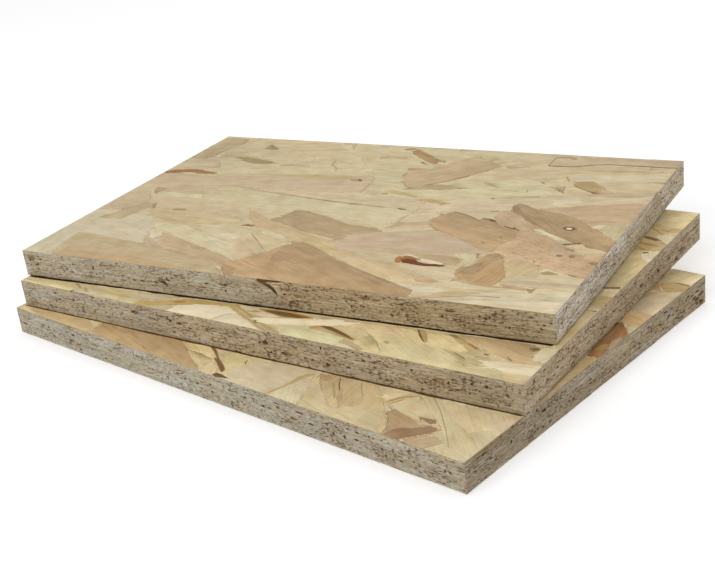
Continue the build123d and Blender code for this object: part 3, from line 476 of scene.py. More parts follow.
SIDE_BOT_SHORT = """
12.9 2.7 4 .9 p; 15.9 6.5 5 .7 t; 17.4 7.4 2 .6 p; 31.8 7.2 2 1.3 p; 33.8 6.4 2 .5 t; 55.7 4.5 4 1 p; 50.7 1.7 1.8 .9 p; 42.8 11.2 9 .8 b; 54.7 11.9 2.4 1 p; 60.2 12 2.4 1 p; 55.7 9.4 3 .7 b; 59.7 9 2 .7 p; 64.2 9 2 .6 p; 68.7 9 2.4 .6 t; 92.5 7.2 3 .7 p; 92.5 9.2 2 .6 p
91.8 12.2 2.2 1.2 r; 95.5 9.4 2.4 .7 t; 48.8 8 1.6 .7 o; 24.9 8 3 .6 o; 3 5 2 .8 o; 160.2 3.3 4 .8 p; 165.7 3.6 2.4 .8 p; 146.6 5.8 1.8 .8 p; 146.6 7.2 1.6 .6 p; 118.4 8.4 1.6 2 b; 103.5 9.3 3 .7 o; 109.5 10.8 2 .8 p; 112.4 10.8 1.4 .7 p; 130.4 5.3 1.8 .7 o
182.8 4.5 2.6 .8 p; 186.8 5.8 2.4 .7 p; 192 5.5 4 .9 p; 191.5 10 3.6 2.6 b; 190.7 9.4 2.6 1.2 p; 192 12 2 1.6 p; 170.2 10.7 3 .8 p; 172.8 10 1.8 .7 p; 158.2 11.1 7 .7 b; 162.6 7.4 2.4 .6 t; 154.6 7.6 2 .7 p; 135.3 11 3 .6 o; 121.4 11 2 .7 o; 84.6 8 3 .6 o; 73.6 11.4 3 .6 o
197.0 8.0 4.4 1.1 p; 195.0 8.4 4 .9 p; 189.0 8.0 4 1.2 p; 193.0 9.6 3 1 p; 196.5 12.8 4.6 3.2 b; 196.5 12.8 3 1.4 p; 195.0 11.6 3 .9 p; 189.0 10.8 6 .7 t; 185.0 10.8 6 .7 t; 191.0 10.4 4 .8 o; 171.0 7.2 2.4 1 p; 167.6 7.6 2 .8 p; 175.0 12.4 6 1.2 r; 178.0 10.4 5 .7 t; 163.6 6.6 2.2 .9 p
"""

# ------------------------------------------------------------------ outlines


def spread(n, rng, size, step):
    """A smooth wandering offset, n values of about that size."""
    k = max(2, int(n / step) + 2)
    return np.interp(np.linspace(0, k - 1, n), np.arange(k), rng.normal(0, size, k))


def inside(poly, x, y):
    """Even-odd test of points against a closed outline."""
    hit = np.zeros(len(x), bool)
    x0, y0 = poly[:, 0], poly[:, 1]
    x1, y1 = np.roll(x0, -1), np.roll(y0, -1)
    slope = (x1 - x0) / np.where(y1 == y0, 1.0, y1 - y0)
    step = max(1, 2000000 // len(poly))
    for i in range(0, len(x), step):
        px, py = x[i:i + step, None], y[i:i + step, None]
        hit[i:i + step] = (((y0 > py) != (y1 > py)) & (px < slope * (py - y0) + x0)).sum(1) % 2 == 1
    return hit


def area_of(p):
    x, y = p[:, 0], p[:, 1]
    return 0.5 * float(np.dot(x, np.roll(y, -1)) - np.dot(y, np.roll(x, -1)))


def long_axis(p):
    """Angle of the longest direction of an outline, in radians."""
    q = np.concatenate([np.linspace(p[i], p[(i + 1) % len(p)], 12, endpoint=False) for i in range(len(p))])
    c = np.cov((q - q.mean(0)).T)
    w, v = np.linalg.eigh(c)
    x, y = v[0, 1], v[1, 1]
    return math.atan2(y, x) if x > 0 else math.atan2(-y, -x)


def torn(p, angle, rng, fine=1.0, rag=0.42, wave=0.13):
    """Divides an outline: smooth and slightly wavy along the grain, torn into short fibres across it."""
    if area_of(p) < 0:
        p = p[::-1]
    width = 2 * abs(area_of(p)) / max(np.linalg.norm(p - np.roll(p, -1, 0), axis=1).sum(), 1e-6)
    calm = min(1.0, width / 5.0)
    g = np.array([math.cos(angle), math.sin(angle)])
    out = []
    for i in range(len(p)):
        a, b = p[i], p[(i + 1) % len(p)]
        d = b - a
        size = float(np.hypot(*d))
        if size < 1e-6:
            continue
        along = abs(float(d @ g)) / size
        if along > 0.8:
            n = max(1, int(size / (2.8 * fine)))
            t = np.linspace(0, 1, n, endpoint=False)
            q = a + t[:, None] * d
            side = np.array([-d[1], d[0]]) / size
            q[1:] += side * spread(n, rng, wave * calm, 2)[1:, None]
        else:
            n = max(1, int(size / (0.95 * fine)))
            t = np.linspace(0, 1, n, endpoint=False)
            q = a + t[:, None] * d
            pull = rng.normal(0, rag * calm, n) + spread(n, rng, rag * 0.8 * calm, 3)
            q[1:] += g * pull[1:, None]
        out.append(q)
    return np.concatenate(out)


def inset(p, width):
    """The outline moved inwards by width."""
    t = np.roll(p, -1, 0) - np.roll(p, 1, 0)
    size = np.maximum(np.hypot(t[:, 0], t[:, 1]), 1e-6)
    return p + np.stack([-t[:, 1], t[:, 0]], 1) / size[:, None] * width


class Flake:
    """One strand as the surface shows it."""

    def __init__(self, p, tone, rng, angle=None, rim=0.15, contrast=1.0, speck=0.0,
                 slope=0.3, factor=1.0, kind="strand", fine=1.0, rag=0.42, wave=0.13, drift=0.012,
                 along=None, across=None, soft=0.3):
        p = np.asarray(p, float)
        self.angle = long_axis(p) if angle is None else angle
        self.along = rng.normal(0, 0.04) if along is None else along
        self.across = rng.normal(0, 0.025) if across is None else across
        self.soft = soft
        self.p = torn(p, self.angle, rng, fine, rag, wave)
        size = abs(area_of(self.p))
        round_it = np.linalg.norm(self.p - np.roll(self.p, -1, 0), axis=1).sum()
        self.slope = min(slope, 0.42 * size / max(round_it, 1e-6))
        self.q = inset(self.p, self.slope)
        self.tone = tone * factor * (1 + rng.normal(0, drift, 3) * 0.4 + rng.normal(0, drift))
        self.rim, self.contrast, self.speck, self.kind = rim, contrast, speck, kind
        self.shift = rng.uniform(0, 900, 2)
        self.middle = self.p.mean(0)
        c = self.p - self.middle
        g, n = (math.cos(self.angle), math.sin(self.angle)), (-math.sin(self.angle), math.cos(self.angle))
        self.half = (max(np.abs(c @ g).max(), 1e-3), max(np.abs(c @ n).max(), 1e-3))
        self.low, self.high = self.p.min(0), self.p.max(0)
        self.height = 0.0


def mosaic(width, height, flakes, base, steiner, rng, wear=0.07, sag=0.03, far=2.6, more=()):
    """The surface of one face as one net of triangles: every strand is flat at its own
    small depth, with a narrow slope at its border, and the one on top hides the rest."""
    flakes = [f for f in flakes if f.high[0] > 0 and f.low[0] < width and f.high[1] > 0 and f.low[1] < height]
    pts, seg, owner = [], [], []
    at = 0
    for i, f in enumerate(flakes):
        for ring in (f.p, f.q):
            n = len(ring)
            pts.append(ring)
            k = np.arange(n)
            seg.append(np.stack([at + k, at + (k + 1) % n], 1))
            owner.append(np.full(n, i))
            at += n
    if flakes:
        pts, seg, owner = np.concatenate(pts), np.concatenate(seg), np.concatenate(owner)
        a, b = pts[seg[:, 0]], pts[seg[:, 1]]
        mid = (a + b) / 2
        hidden = (np.maximum(a, b) < 0).any(1) | (np.minimum(a, b) > (width, height)).any(1)
        mx, my = np.ascontiguousarray(mid[:, 0]), np.ascontiguousarray(mid[:, 1])
        for j, f in enumerate(flakes):
            k = np.nonzero((mx > f.low[0]) & (mx < f.high[0]) & (my > f.low[1]) & (my < f.high[1]))[0]
            k = k[(owner[k] < j) & ~hidden[k]]
            if len(k) == 0:
                continue
            gone = inside(f.p, mid[k, 0], mid[k, 1])
            k = k[gone]
            gone = inside(f.p, a[k, 0], a[k, 1])
            k = k[gone]
            gone = inside(f.p, b[k, 0], b[k, 1])
            hidden[k[gone]] = True
        seg = seg[~hidden]
    else:
        pts, seg = np.zeros((0, 2)), np.zeros((0, 2), int)
    used, seg = np.unique(seg, return_inverse=True)
    seg = seg.reshape(-1, 2)
    pts = pts[used] if len(used) else pts
    # the rectangle itself, and a loose net of points inside it
    ring = []
    for (x0, y0), (x1, y1) in zip(((0, 0), (width, 0), (width, height), (0, height)),
                                  ((width, 0), (width, height), (0, height), (0, 0))):
        size = math.hypot(x1 - x0, y1 - y0)
        n = max(2, int(size / far))
        t = (np.arange(n) + np.r_[0, rng.uniform(-0.3, 0.3, n - 1)]) / n
        ring.append(np.stack([x0 + t * (x1 - x0), y0 + t * (y1 - y0)], 1))
    ring = np.concatenate(ring)
    nx, ny = max(1, int(width / steiner)), max(1, int(height / steiner))
    gx, gy = np.meshgrid((np.arange(nx) + 0.5) / nx * width, (np.arange(ny) + 0.5) / ny * height)
    grid = np.stack([gx.ravel(), gy.ravel()], 1) + rng.uniform(-0.3, 0.3, (nx * ny, 2)) * (width / nx, height / ny)
    n0, n1 = len(pts), len(ring)
    if len(more):
        grid = np.concatenate([grid, more])
    every = np.concatenate([pts, ring, grid])
    k = np.arange(n1)
    seg = np.concatenate([seg, np.stack([n0 + k, n0 + (k + 1) % n1], 1)]) if len(seg) else np.stack([n0 + k, n0 + (k + 1) % n1], 1)
    found = delaunay_2d_cdt([tuple(v) for v in every.tolist()], [tuple(e) for e in seg.tolist()], [], 0, 1e-4)
    v = np.array([tuple(p) for p in found[0]])
    t = np.array(found[2])
    c = v[t].mean(1)
    e1, e2 = v[t[:, 1]] - v[t[:, 0]], v[t[:, 2]] - v[t[:, 0]]
    full = np.abs(e1[:, 0] * e2[:, 1] - e1[:, 1] * e2[:, 0]) > 1e-9
    keep = (c > 1e-6).all(1) & (c < (width - 1e-6, height - 1e-6)).all(1) & full
    t, c = t[keep], c[keep]
    # who owns each triangle
    own = np.full(len(t), -1)
    cx, cy = np.ascontiguousarray(c[:, 0]), np.ascontiguousarray(c[:, 1])
    for j in range(len(flakes) - 1, -1, -1):
        f = flakes[j]
        k = np.nonzero((cx > f.low[0]) & (cx < f.high[0]) & (cy > f.low[1]) & (cy < f.high[1]))[0]
        k = k[own[k] < 0]
        if len(k):
            own[k[inside(f.p, cx[k], cy[k])]] = j
    band = np.zeros(len(t), bool)
    for j in np.unique(own):
        if j >= 0:
            k = np.nonzero(own == j)[0]
            band[k] = ~inside(flakes[j].q, c[k, 0], c[k, 1])
    # depths
    deep = np.array([f.height for f in flakes] + [base])
    pit = np.array([f.kind == "pit" for f in flakes] + [False])
    own = np.where(own < 0, len(flakes), own)
    h = np.full(len(v), np.inf)
    solid = np.where(pit[own], np.inf, deep[own])
    for k in range(3):
        np.minimum.at(h, t[:, k], solid)
    low, high = np.full(len(v), 10**9), np.full(len(v), -1)
    for k in range(3):
        np.minimum.at(low, t[:, k], own)
        np.maximum.at(high, t[:, k], own)
    mixed = low != high
    lone = np.isinf(h)
    h[lone] = deep[np.clip(low[lone], 0, len(deep) - 1)]
    ph = rng.uniform(0, 6.28, 6)
    h -= sag * (1 + np.sin(v[:, 0] * 0.11 + ph[0] + 1.3 * np.sin(v[:, 1] * 0.07 + ph[1])) * np.sin(v[:, 1] * 0.13 + ph[2])) / 2
    edge = (v[:, 0] < 1e-4) | (v[:, 1] < 1e-4) | (v[:, 0] > width - 1e-4) | (v[:, 1] > height - 1e-4)
    s = v[:, 0] + 1.7 * v[:, 1]
    worn = 0.5 + 0.5 * np.sin(s * 0.9 + ph[3] + 2 * np.sin(s * 0.23 + ph[4])) * np.sin(s * 0.37 + ph[5])
    h[edge] -= wear * (0.25 + 0.75 * worn[edge] + 0.5 * rng.uniform(0, 1, int(edge.sum())))
    h = np.minimum(h, -0.015)
    return {"v": v, "h": h, "t": t, "own": own, "band": band, "mixed": mixed, "under": low, "flakes": flakes}


# -------------------------------------------------------- strands by chance
LOOSE = ("straw",) * 22 + ("sand",) * 18 + ("cream",) * 14 + ("yellow",) * 10 + ("tan",) * 12 + ("pinksand",) * 8 \
    + ("goldsand",) * 8 + ("tanbrown",) * 6 + ("greytan",) * 5 + ("pinktan",) * 6 + ("golden",) * 4 + ("brown",) * 4 \
    + ("pale",) * 6 + ("orangetan",) * 3
QUIET = ("straw",) * 5 + ("sand",) * 3 + ("cream",) * 3 + ("pale",) * 2 + ("yellow",) * 2
SLIVER = ("golden", "goldbrown", "brown", "rust", "olive", "dark", "cream", "tanbrown", "honey", "redbrown", "cream", "white")


def blade(c, size, width, angle, rng):
    """A strand's plain outline: long, with oblique or pointed ends."""
    s0, s1 = rng.normal(0, 0.35, 2) * width
    n0, n1 = rng.uniform(0.75, 1.15, 2) * width / 2
    p = [(-size / 2 + s0, -n0), (size / 2 + s1, -n1), (size / 2 - s1, n1), (-size / 2 - s0, n0)]
    if rng.random() < 0.35:
        p.insert(2, (size / 2 + rng.uniform(0.1, 0.5) * width, rng.uniform(-0.4, 0.4) * n1))
    if rng.random() < 0.35:
        p.append((-size / 2 - rng.uniform(0.1, 0.5) * width, rng.uniform(-0.4, 0.4) * n0))
    if rng.random() < 0.3:
        p.insert(1, (rng.uniform(-0.2, 0.2) * size, -n0 * rng.uniform(0.75, 1.0)))
    p = np.array(p)
    ca, sa = math.cos(angle), math.sin(angle)
    return np.stack([p[:, 0] * ca - p[:, 1] * sa + c[0], p[:, 0] * sa + p[:, 1] * ca + c[1]], 1)


def fibres(f, rng, gap=26.0):
    """Torn fibres that stand over the border of a strand, lying along its grain."""
    found = []
    edge = np.roll(f.p, -1, 0) - f.p
    size = np.hypot(edge[:, 0], edge[:, 1])
    total = size.sum()
    for k in range(int(total / gap)):
        at = rng.uniform(0, total)
        i = int(np.searchsorted(np.cumsum(size), at))
        i = min(i, len(size) - 1)
        c = f.p[i] + edge[i] * rng.random()
        length, w = rng.uniform(2.5, 10.0), rng.uniform(0.35, 0.95)
        angle = f.angle + rng.normal(0, 0.09)
        g = Flake(blade(c, length, w, angle, rng), f.tone, rng, f.angle, rim=f.rim * rng.uniform(0.2, 1.2), contrast=f.contrast,
                  speck=0.0, slope=0.14, factor=rng.uniform(0.93, 1.05), fine=1.6, rag=0.1, wave=0.04)
        g.shift = f.shift
        g.middle, g.half, g.along, g.across = f.middle.copy(), f.half, f.along, f.across
        found.append(g)
    return found


def loose_strands(width, height, rng, count, tones, factor=1.0, rim=0.2):
    found = []
    for i in range(count):
        size = rng.uniform(38, 105)
        w = min(size * 0.6, rng.gamma(5.0, 3.4) + 3)
        c = rng.uniform((-15, -10), (width + 15, height + 10))
        angle = rng.normal(0, 0.42)
        tone = TONE[tones[rng.integers(len(tones))]]
        found.append(Flake(blade(c, size, w, angle, rng), tone, rng, angle, rim=rim * rng.uniform(0.2, 1.6),
                           contrast=rng.uniform(0.7, 1.35), speck=0.5 if rng.random() < 0.06 else 0.0,
                           slope=rng.uniform(0.22, 0.4), factor=factor, drift=0.03))
    return found


def slivers(width, height, rng, count, factor=1.0):
    found = []
    for i in range(count):
        size = rng.uniform(4, 26)
        w = rng.uniform(0.8, 3.2) * (1.3 if size > 12 else 1)
        c = rng.uniform((0, 0), (width, height))
        angle = rng.normal(0, 0.5)
        tone = TONE[SLIVER[rng.integers(len(SLIVER))]]
        found.append(Flake(blade(c, size, w, angle, rng), tone, rng, angle, rim=0.3, slope=0.22, factor=factor, drift=0.05))
    return found


def band_of(points, width, rng):
    """A thin outline round an open line, pinched at both ends."""
    p = np.asarray(points, float)
    n = max(2, int(np.hypot(*np.diff(p, axis=0).T).sum() / 2.0))
    d = np.r_[0, np.cumsum(np.hypot(*np.diff(p, axis=0).T))]
    t = np.linspace(0, d[-1], n + 1)
    q = np.stack([np.interp(t, d, p[:, 0]), np.interp(t, d, p[:, 1])], 1)
    g = np.gradient(q, axis=0)
    g /= np.maximum(np.hypot(g[:, 0], g[:, 1])[:, None], 1e-6)
    half = width / 2 * (0.35 + 0.65 * np.sin(np.linspace(0.1, math.pi - 0.1, n + 1)) ** 0.5) * rng.uniform(0.6, 1.35, n + 1)
    side = np.stack([-g[:, 1], g[:, 0]], 1)
    q = q + side * rng.normal(0, 0.1, n + 1)[:, None]
    return np.concatenate([q - side * half[:, None], (q + side * half[:, None])[::-1]])


def plan(text, rng):
    """Reads a face plan into flakes, from the lowest to the highest."""
    found = []
    for line in text.strip().splitlines():
        part = [s.strip() for s in line.split("|")]
        p = np.array([[float(n) for n in w.split(",")] for w in part[1].split()])
        p = np.stack([p[:, 0] / UNITS, WIDE - p[:, 1] / UNITS], 1)
        word = part[2].split() if len(part) > 2 else []
        opt = {word[i]: word[i + 1] for i in range(0, len(word), 2)}
        if part[0] == "crack":
            q = band_of(p, float(opt["k"]) * 1.15, rng)
            f = Flake(q, TONE["dark"], rng, rim=0.0, slope=0.12, kind="pit", fine=9, rag=0, wave=0, factor=1.35, soft=0.3)
            found.append(f)
            continue
        if part[0] == "knot":
            c = p[0]
            t = np.linspace(0, 2 * math.pi, 15)[:-1]
            for r, tone, fac in ((4.4, "brown", 0.95), (3.1, "dark", 0.95), (1.75, "white", 0.98)):
                q = c + np.stack([np.cos(t) * r * 1.05, np.sin(t) * r * 0.82], 1) * rng.uniform(0.85, 1.12, (14, 1))
                found.append(Flake(q, TONE[tone], rng, 0.2, rim=0.2, slope=0.3, factor=fac, rag=0.05, wave=0.05))
            continue
        angle = math.radians(float(opt["a"])) if "a" in opt else None
        small = area_of(p)
        faint = abs(small) < 70
        warm = float(opt.get("h", 0.0))
        found.append(Flake(p, TONE[part[0]] * (1 + warm, 1.0, 1 - warm), rng, angle, rim=0.12 + 1.25 * float(opt.get("r", 0.15)),
                           contrast=float(opt.get("c", 1.0)), speck=float(opt.get("s", 0.0)),
                           slope=float(opt.get("f", opt.get("w", 0.55 if faint else 0.45))), factor=float(opt.get("l", 1.0)),
                           along=float(opt["g"]) if "g" in opt else None, across=float(opt["n"]) if "n" in opt else None,
                           soft=0.95 if "f" in opt else 0.8 if faint else 0.45, rag=0.5 if abs(small) > 120 else 0.2, wave=0.13 if abs(small) > 120 else 0.07))
        if abs(small) > 90:
            found += fibres(found[-1], rng)
    return found


def contact(name):
    """The near edge of the board above, in this board's own millimetres: its left end, its
    direction, and the direction in which the free strip of this board lies."""
    above = {"board_bottom": "board_middle", "board_middle": "board_top"}[name]
    _, cx, cy, _, turn = PANELS[name]
    _, ux, uy, _, other = PANELS[above]
    a, b = math.radians(turn), math.radians(other)
    x = ux - cx - math.cos(b) * LONG / 2 + math.sin(b) * WIDE / 2
    y = uy - cy - math.sin(b) * LONG / 2 - math.cos(b) * WIDE / 2
    start = np.array([x * math.cos(a) + y * math.sin(a) + LONG / 2, -x * math.sin(a) + y * math.cos(a) + WIDE / 2])
    along = np.array([math.cos(b - a), math.sin(b - a)])
    return start, along, np.array([along[1], -along[0]])


def face(name, rng, seen):
    """All strands of one broad face."""
    width, height = LONG - 2 * ARRIS, WIDE - 2 * ARRIS
    more = np.zeros((0, 2))
    if seen:
        under = loose_strands(width, height, rng, 40, LOOSE) + loose_strands(width, height, rng, 60, QUIET, rim=0.1)
        if name != "board_top":
            under += loose_strands(width, height, rng, 60, LOOSE) + slivers(width, height, rng, 60)
        hand = plan({"board_top": TOP, "board_middle": MIDDLE, "board_bottom": BOTTOM}[name], rng)
        for f in hand:
            for k in ("p", "q"):
                setattr(f, k, getattr(f, k) - ARRIS)
            f.low, f.high, f.middle = f.low - ARRIS, f.high - ARRIS, f.middle - ARRIS
        flakes = under + hand
        if name != "board_top":
            # painted shadow: a dark band on this face along the joint under the board above
            start, along, out = contact(name)
            t = np.arange(0.0, LONG + 1, 3.0)
            wide, tone = (0.66, SAW["gap"]) if name == "board_middle" else (0.55, SAW["seam"] * 1.25)
            w = wide * np.clip(1 + spread(len(t), rng, 0.35, 3) + rng.normal(0, 0.12, len(t)), 0.35, 1.8)
            p = np.concatenate([start + t[:, None] * along + w[:, None] * out, (start + t[:, None] * along - 1.0 * out)[::-1]]) - ARRIS
            flakes.append(Flake(p, tone, rng, math.atan2(along[1], along[0]), rim=0.0, slope=0.12, fine=9, rag=0, wave=0, drift=0.0, soft=0.3, contrast=0.5))
            rows = [start + np.arange(3.0, LONG, gap)[:, None] * along + d * out for d, gap in ((2.0, 4.0), (4.5, 5.0), (8.0, 6.0), (13.0, 8.0))]
            more = np.concatenate(rows) - ARRIS
            more = more[(more > 1).all(1) & (more < (width - 1, height - 1)).all(1)]
    else:
        flakes = loose_strands(width, height, rng, 150, LOOSE) + slivers(width, height, rng, 60)
    n = len(flakes)
    for i, f in enumerate(flakes):
        f.height = -0.27 + 0.25 * (i + 1) / n
        if f.kind == "pit":
            f.height = -0.33
    net = mosaic(width, height, flakes, -0.42, 9.0, rng, more=more)
    if not seen:
        p = net["v"]
        d = np.minimum(np.minimum(p[:, 0], width - p[:, 0]), np.minimum(p[:, 1], height - p[:, 1]))
        net["h"] -= 0.12 * np.exp(-(np.maximum(d, 0) / 9.0) ** 2)
    return net


# ------------------------------------------------------------ the sawn sides
SAWN = {                          # sRGB tones of sawn strand ends
    "grey": (182, 173, 155),
    "beige": (181, 168, 143),
    "warm": (175, 160, 132),
    "brownish": (166, 149, 121),
    "pinkish": (176, 163, 146),
    "greenish": (174, 167, 144),
    "pit": (92, 72, 46),
    "stain": (134, 108, 74),
    "olive": (128, 113, 80),
    "red": (134, 100, 78),
    "thin": (104, 84, 58),
    "light": (200, 190, 172),
    "chip": (86, 62, 36),
    # the last two are painted shadow for the joints between the boards, not tones of the wood
    "seam": (88, 64, 32),
    "gap": (54, 28, 4),
}
SAW = {name: linear(value) for name, value in SAWN.items()}


def lens(s, z, size, tall, tilt, rng, n=5):
    """A flat, lens-shaped section of a strand."""
    t = np.linspace(-1, 1, n)
    half = tall / 2 * (1 - np.abs(t) ** 2.6 * 0.8)
    bow = rng.normal(0, 0.12) * (1 - t**2) * 2
    top = np.stack([t * size / 2, half + bow], 1)
    low = np.stack([t * size / 2, -half + bow], 1)[::-1]
    p = np.concatenate([low[::-1], top[::-1]])
    ca, sa = math.cos(tilt), math.sin(tilt)
    return np.stack([s + p[:, 0] * ca - p[:, 1] * sa, z + p[:, 0] * sa + p[:, 1] * ca], 1)


def blot(s, z, size, tall, tilt, rng):
    """A small irregular blotch."""
    n = 7 if size < 1.6 else 9 if size < 4 else 13
    t = np.linspace(0, 2 * math.pi, n + 1)[:-1] + rng.uniform(-0.2, 0.2, n)
    r = rng.uniform(0.72, 1.2, n)
    p = np.stack([np.cos(t) * size / 2 * r, np.sin(t) * tall / 2 * r], 1)
    ca, sa = math.cos(tilt), math.sin(tilt)
    return np.stack([s + p[:, 0] * ca - p[:, 1] * sa, z + p[:, 0] * sa + p[:, 1] * ca], 1)


KINDS = {"p": ("pit", -0.7, "pit"), "b": ("stain", -0.14, "strand"), "r": ("red", -0.14, "strand"),
         "o": ("olive", -0.26, "pit"), "t": ("thin", -0.35, "pit"), "l": ("light", -0.03, "strand")}


def side(size, low, hand, rng, grey, tint_and_shade, dense, extra=()):
    """The net of one sawn side: rows of strand sections, with pits and stains."""
    width, height = size - 2 * ARRIS, THICK - ARRIS - low
    flakes = []
    names = ("grey", "beige", "warm", "brownish", "pinkish", "greenish")
    ph = rng.uniform(0, 6.28, 4)
    for z0 in np.arange(0.1, height + 0.5, 0.95):
        s = rng.uniform(-22, -4)
        while s < width + 2:
            length = rng.uniform(8, 42)
            tall = rng.uniform(0.75, 1.6)
            mid = s + length / 2
            z = z0 + rng.normal(0, 0.2) + 0.35 * math.sin(mid * 0.06 + ph[0] + z0 * 0.35) + 0.22 * math.sin(mid * 0.15 + ph[1])
            tilt = rng.normal(0, 0.012) + 0.019 * math.cos(mid * 0.06 + ph[0] + z0 * 0.35)
            far = math.sin(mid * 0.035 + ph[2] + z0 * 0.2)
            g = grey(mid)
            w = np.array([0.6 + 2.2 * g, 1.5, 1.6 * (1.15 - g), 1.3 * (1.05 - g), 0.45, 0.35 + 0.4 * g])
            tone = SAW[names[rng.choice(6, p=w / w.sum())]]
            f = Flake(lens(mid, z, length, tall, tilt, rng), tone, rng, tilt, rim=max(0.0, rng.normal(0.0, 0.14)),
                      contrast=rng.uniform(0.75, 1.3), slope=rng.uniform(0.14, 0.24), factor=rng.uniform(0.93, 1.06) + 0.04 * far,
                      fine=1.9, rag=0.3, wave=0.06, drift=0.015, speck=dense(mid), soft=0.5)
            # painted shade: the strands are made darker towards the side's lower edge
            f.tone = f.tone * tint_and_shade(mid) * (1 - (0.16 if low > 0.8 else 0.05) * math.exp(-((z / 1.5) ** 2)))
            flakes.append(f)
            s += length * rng.uniform(0.7, 0.96)
    order = rng.permutation(len(flakes))
    flakes = [flakes[i] for i in order]
    for i, f in enumerate(flakes):
        f.height = -0.16 + 0.13 * (i + 1) / len(flakes)
    marks, rich = [], dense(size / 2)
    if hand:
        for item in hand.replace("\n", ";").split(";"):
            if item.strip():
                a = item.split()
                marks.append((float(a[0]), float(a[1]), float(a[2]), float(a[3]), a[4]))
    # small pits and stains by chance, in loose clusters
    centres = rng.uniform((4, 3), (size - 4, THICK - 3), (max(3, int(size / 20)), 2))
    for i in range(int(size * ((0.5 + 0.6 * rich) if hand else 1.1))):
        if rng.random() < 0.6:
            c = centres[rng.integers(len(centres))] + rng.normal(0, (6.0, 2.2))
        else:
            c = rng.uniform((2, 1), (size - 2, THICK - 1))
        if not (1.2 < c[1] < THICK - low - 0.8 and 1.5 < c[0] < size - 1.5):
            continue
        kind = "ppoobt"[rng.integers(6)]
        k = 0.72 if hand else 1.15
        marks.append((c[0], c[1], k * rng.uniform(0.6, 2.2) * (1.6 if kind in "bt" else 1), k * rng.uniform(0.32, 0.8), kind))
    for s, d, length, tall, kind in marks:
        tone, depth, how = KINDS[kind]
        tilt = rng.normal(0.03, 0.1) * (1 if length < 3 else 0.35)
        p = blot(s - ARRIS, THICK - d - low, length * 1.08, tall * 1.15, tilt, rng)
        f = Flake(p, SAW[tone] * tint_and_shade(s) ** 0.7, rng, 0.0, rim=0.15, contrast=1.2, slope=0.3, soft=0.6 if how == "pit" else 0.85,
                  fine=2.0, rag=0.14, wave=0.08, kind=how, drift=0.05, factor=rng.uniform(0.85, 1.15), speck=0.9)
        f.height = depth * (1.0 if how == "strand" else min(1.0, 0.4 + tall * 0.6))
        flakes.append(f)
    for p, tone, depth, how in extra:
        f = Flake(np.asarray(p, float) - (ARRIS, low), SAW[tone], rng, 0.0, rim=0.3, slope=0.35, fine=1.2, rag=0.12, wave=0.1, kind=how)
        f.height = depth
        flakes.append(f)
    return mosaic(width, height, flakes, -0.2, 7.0, rng, wear=0.09, sag=0.02, far=1.8)


# ----------------------------------------------------------- putting together
ATLAS = 420.0


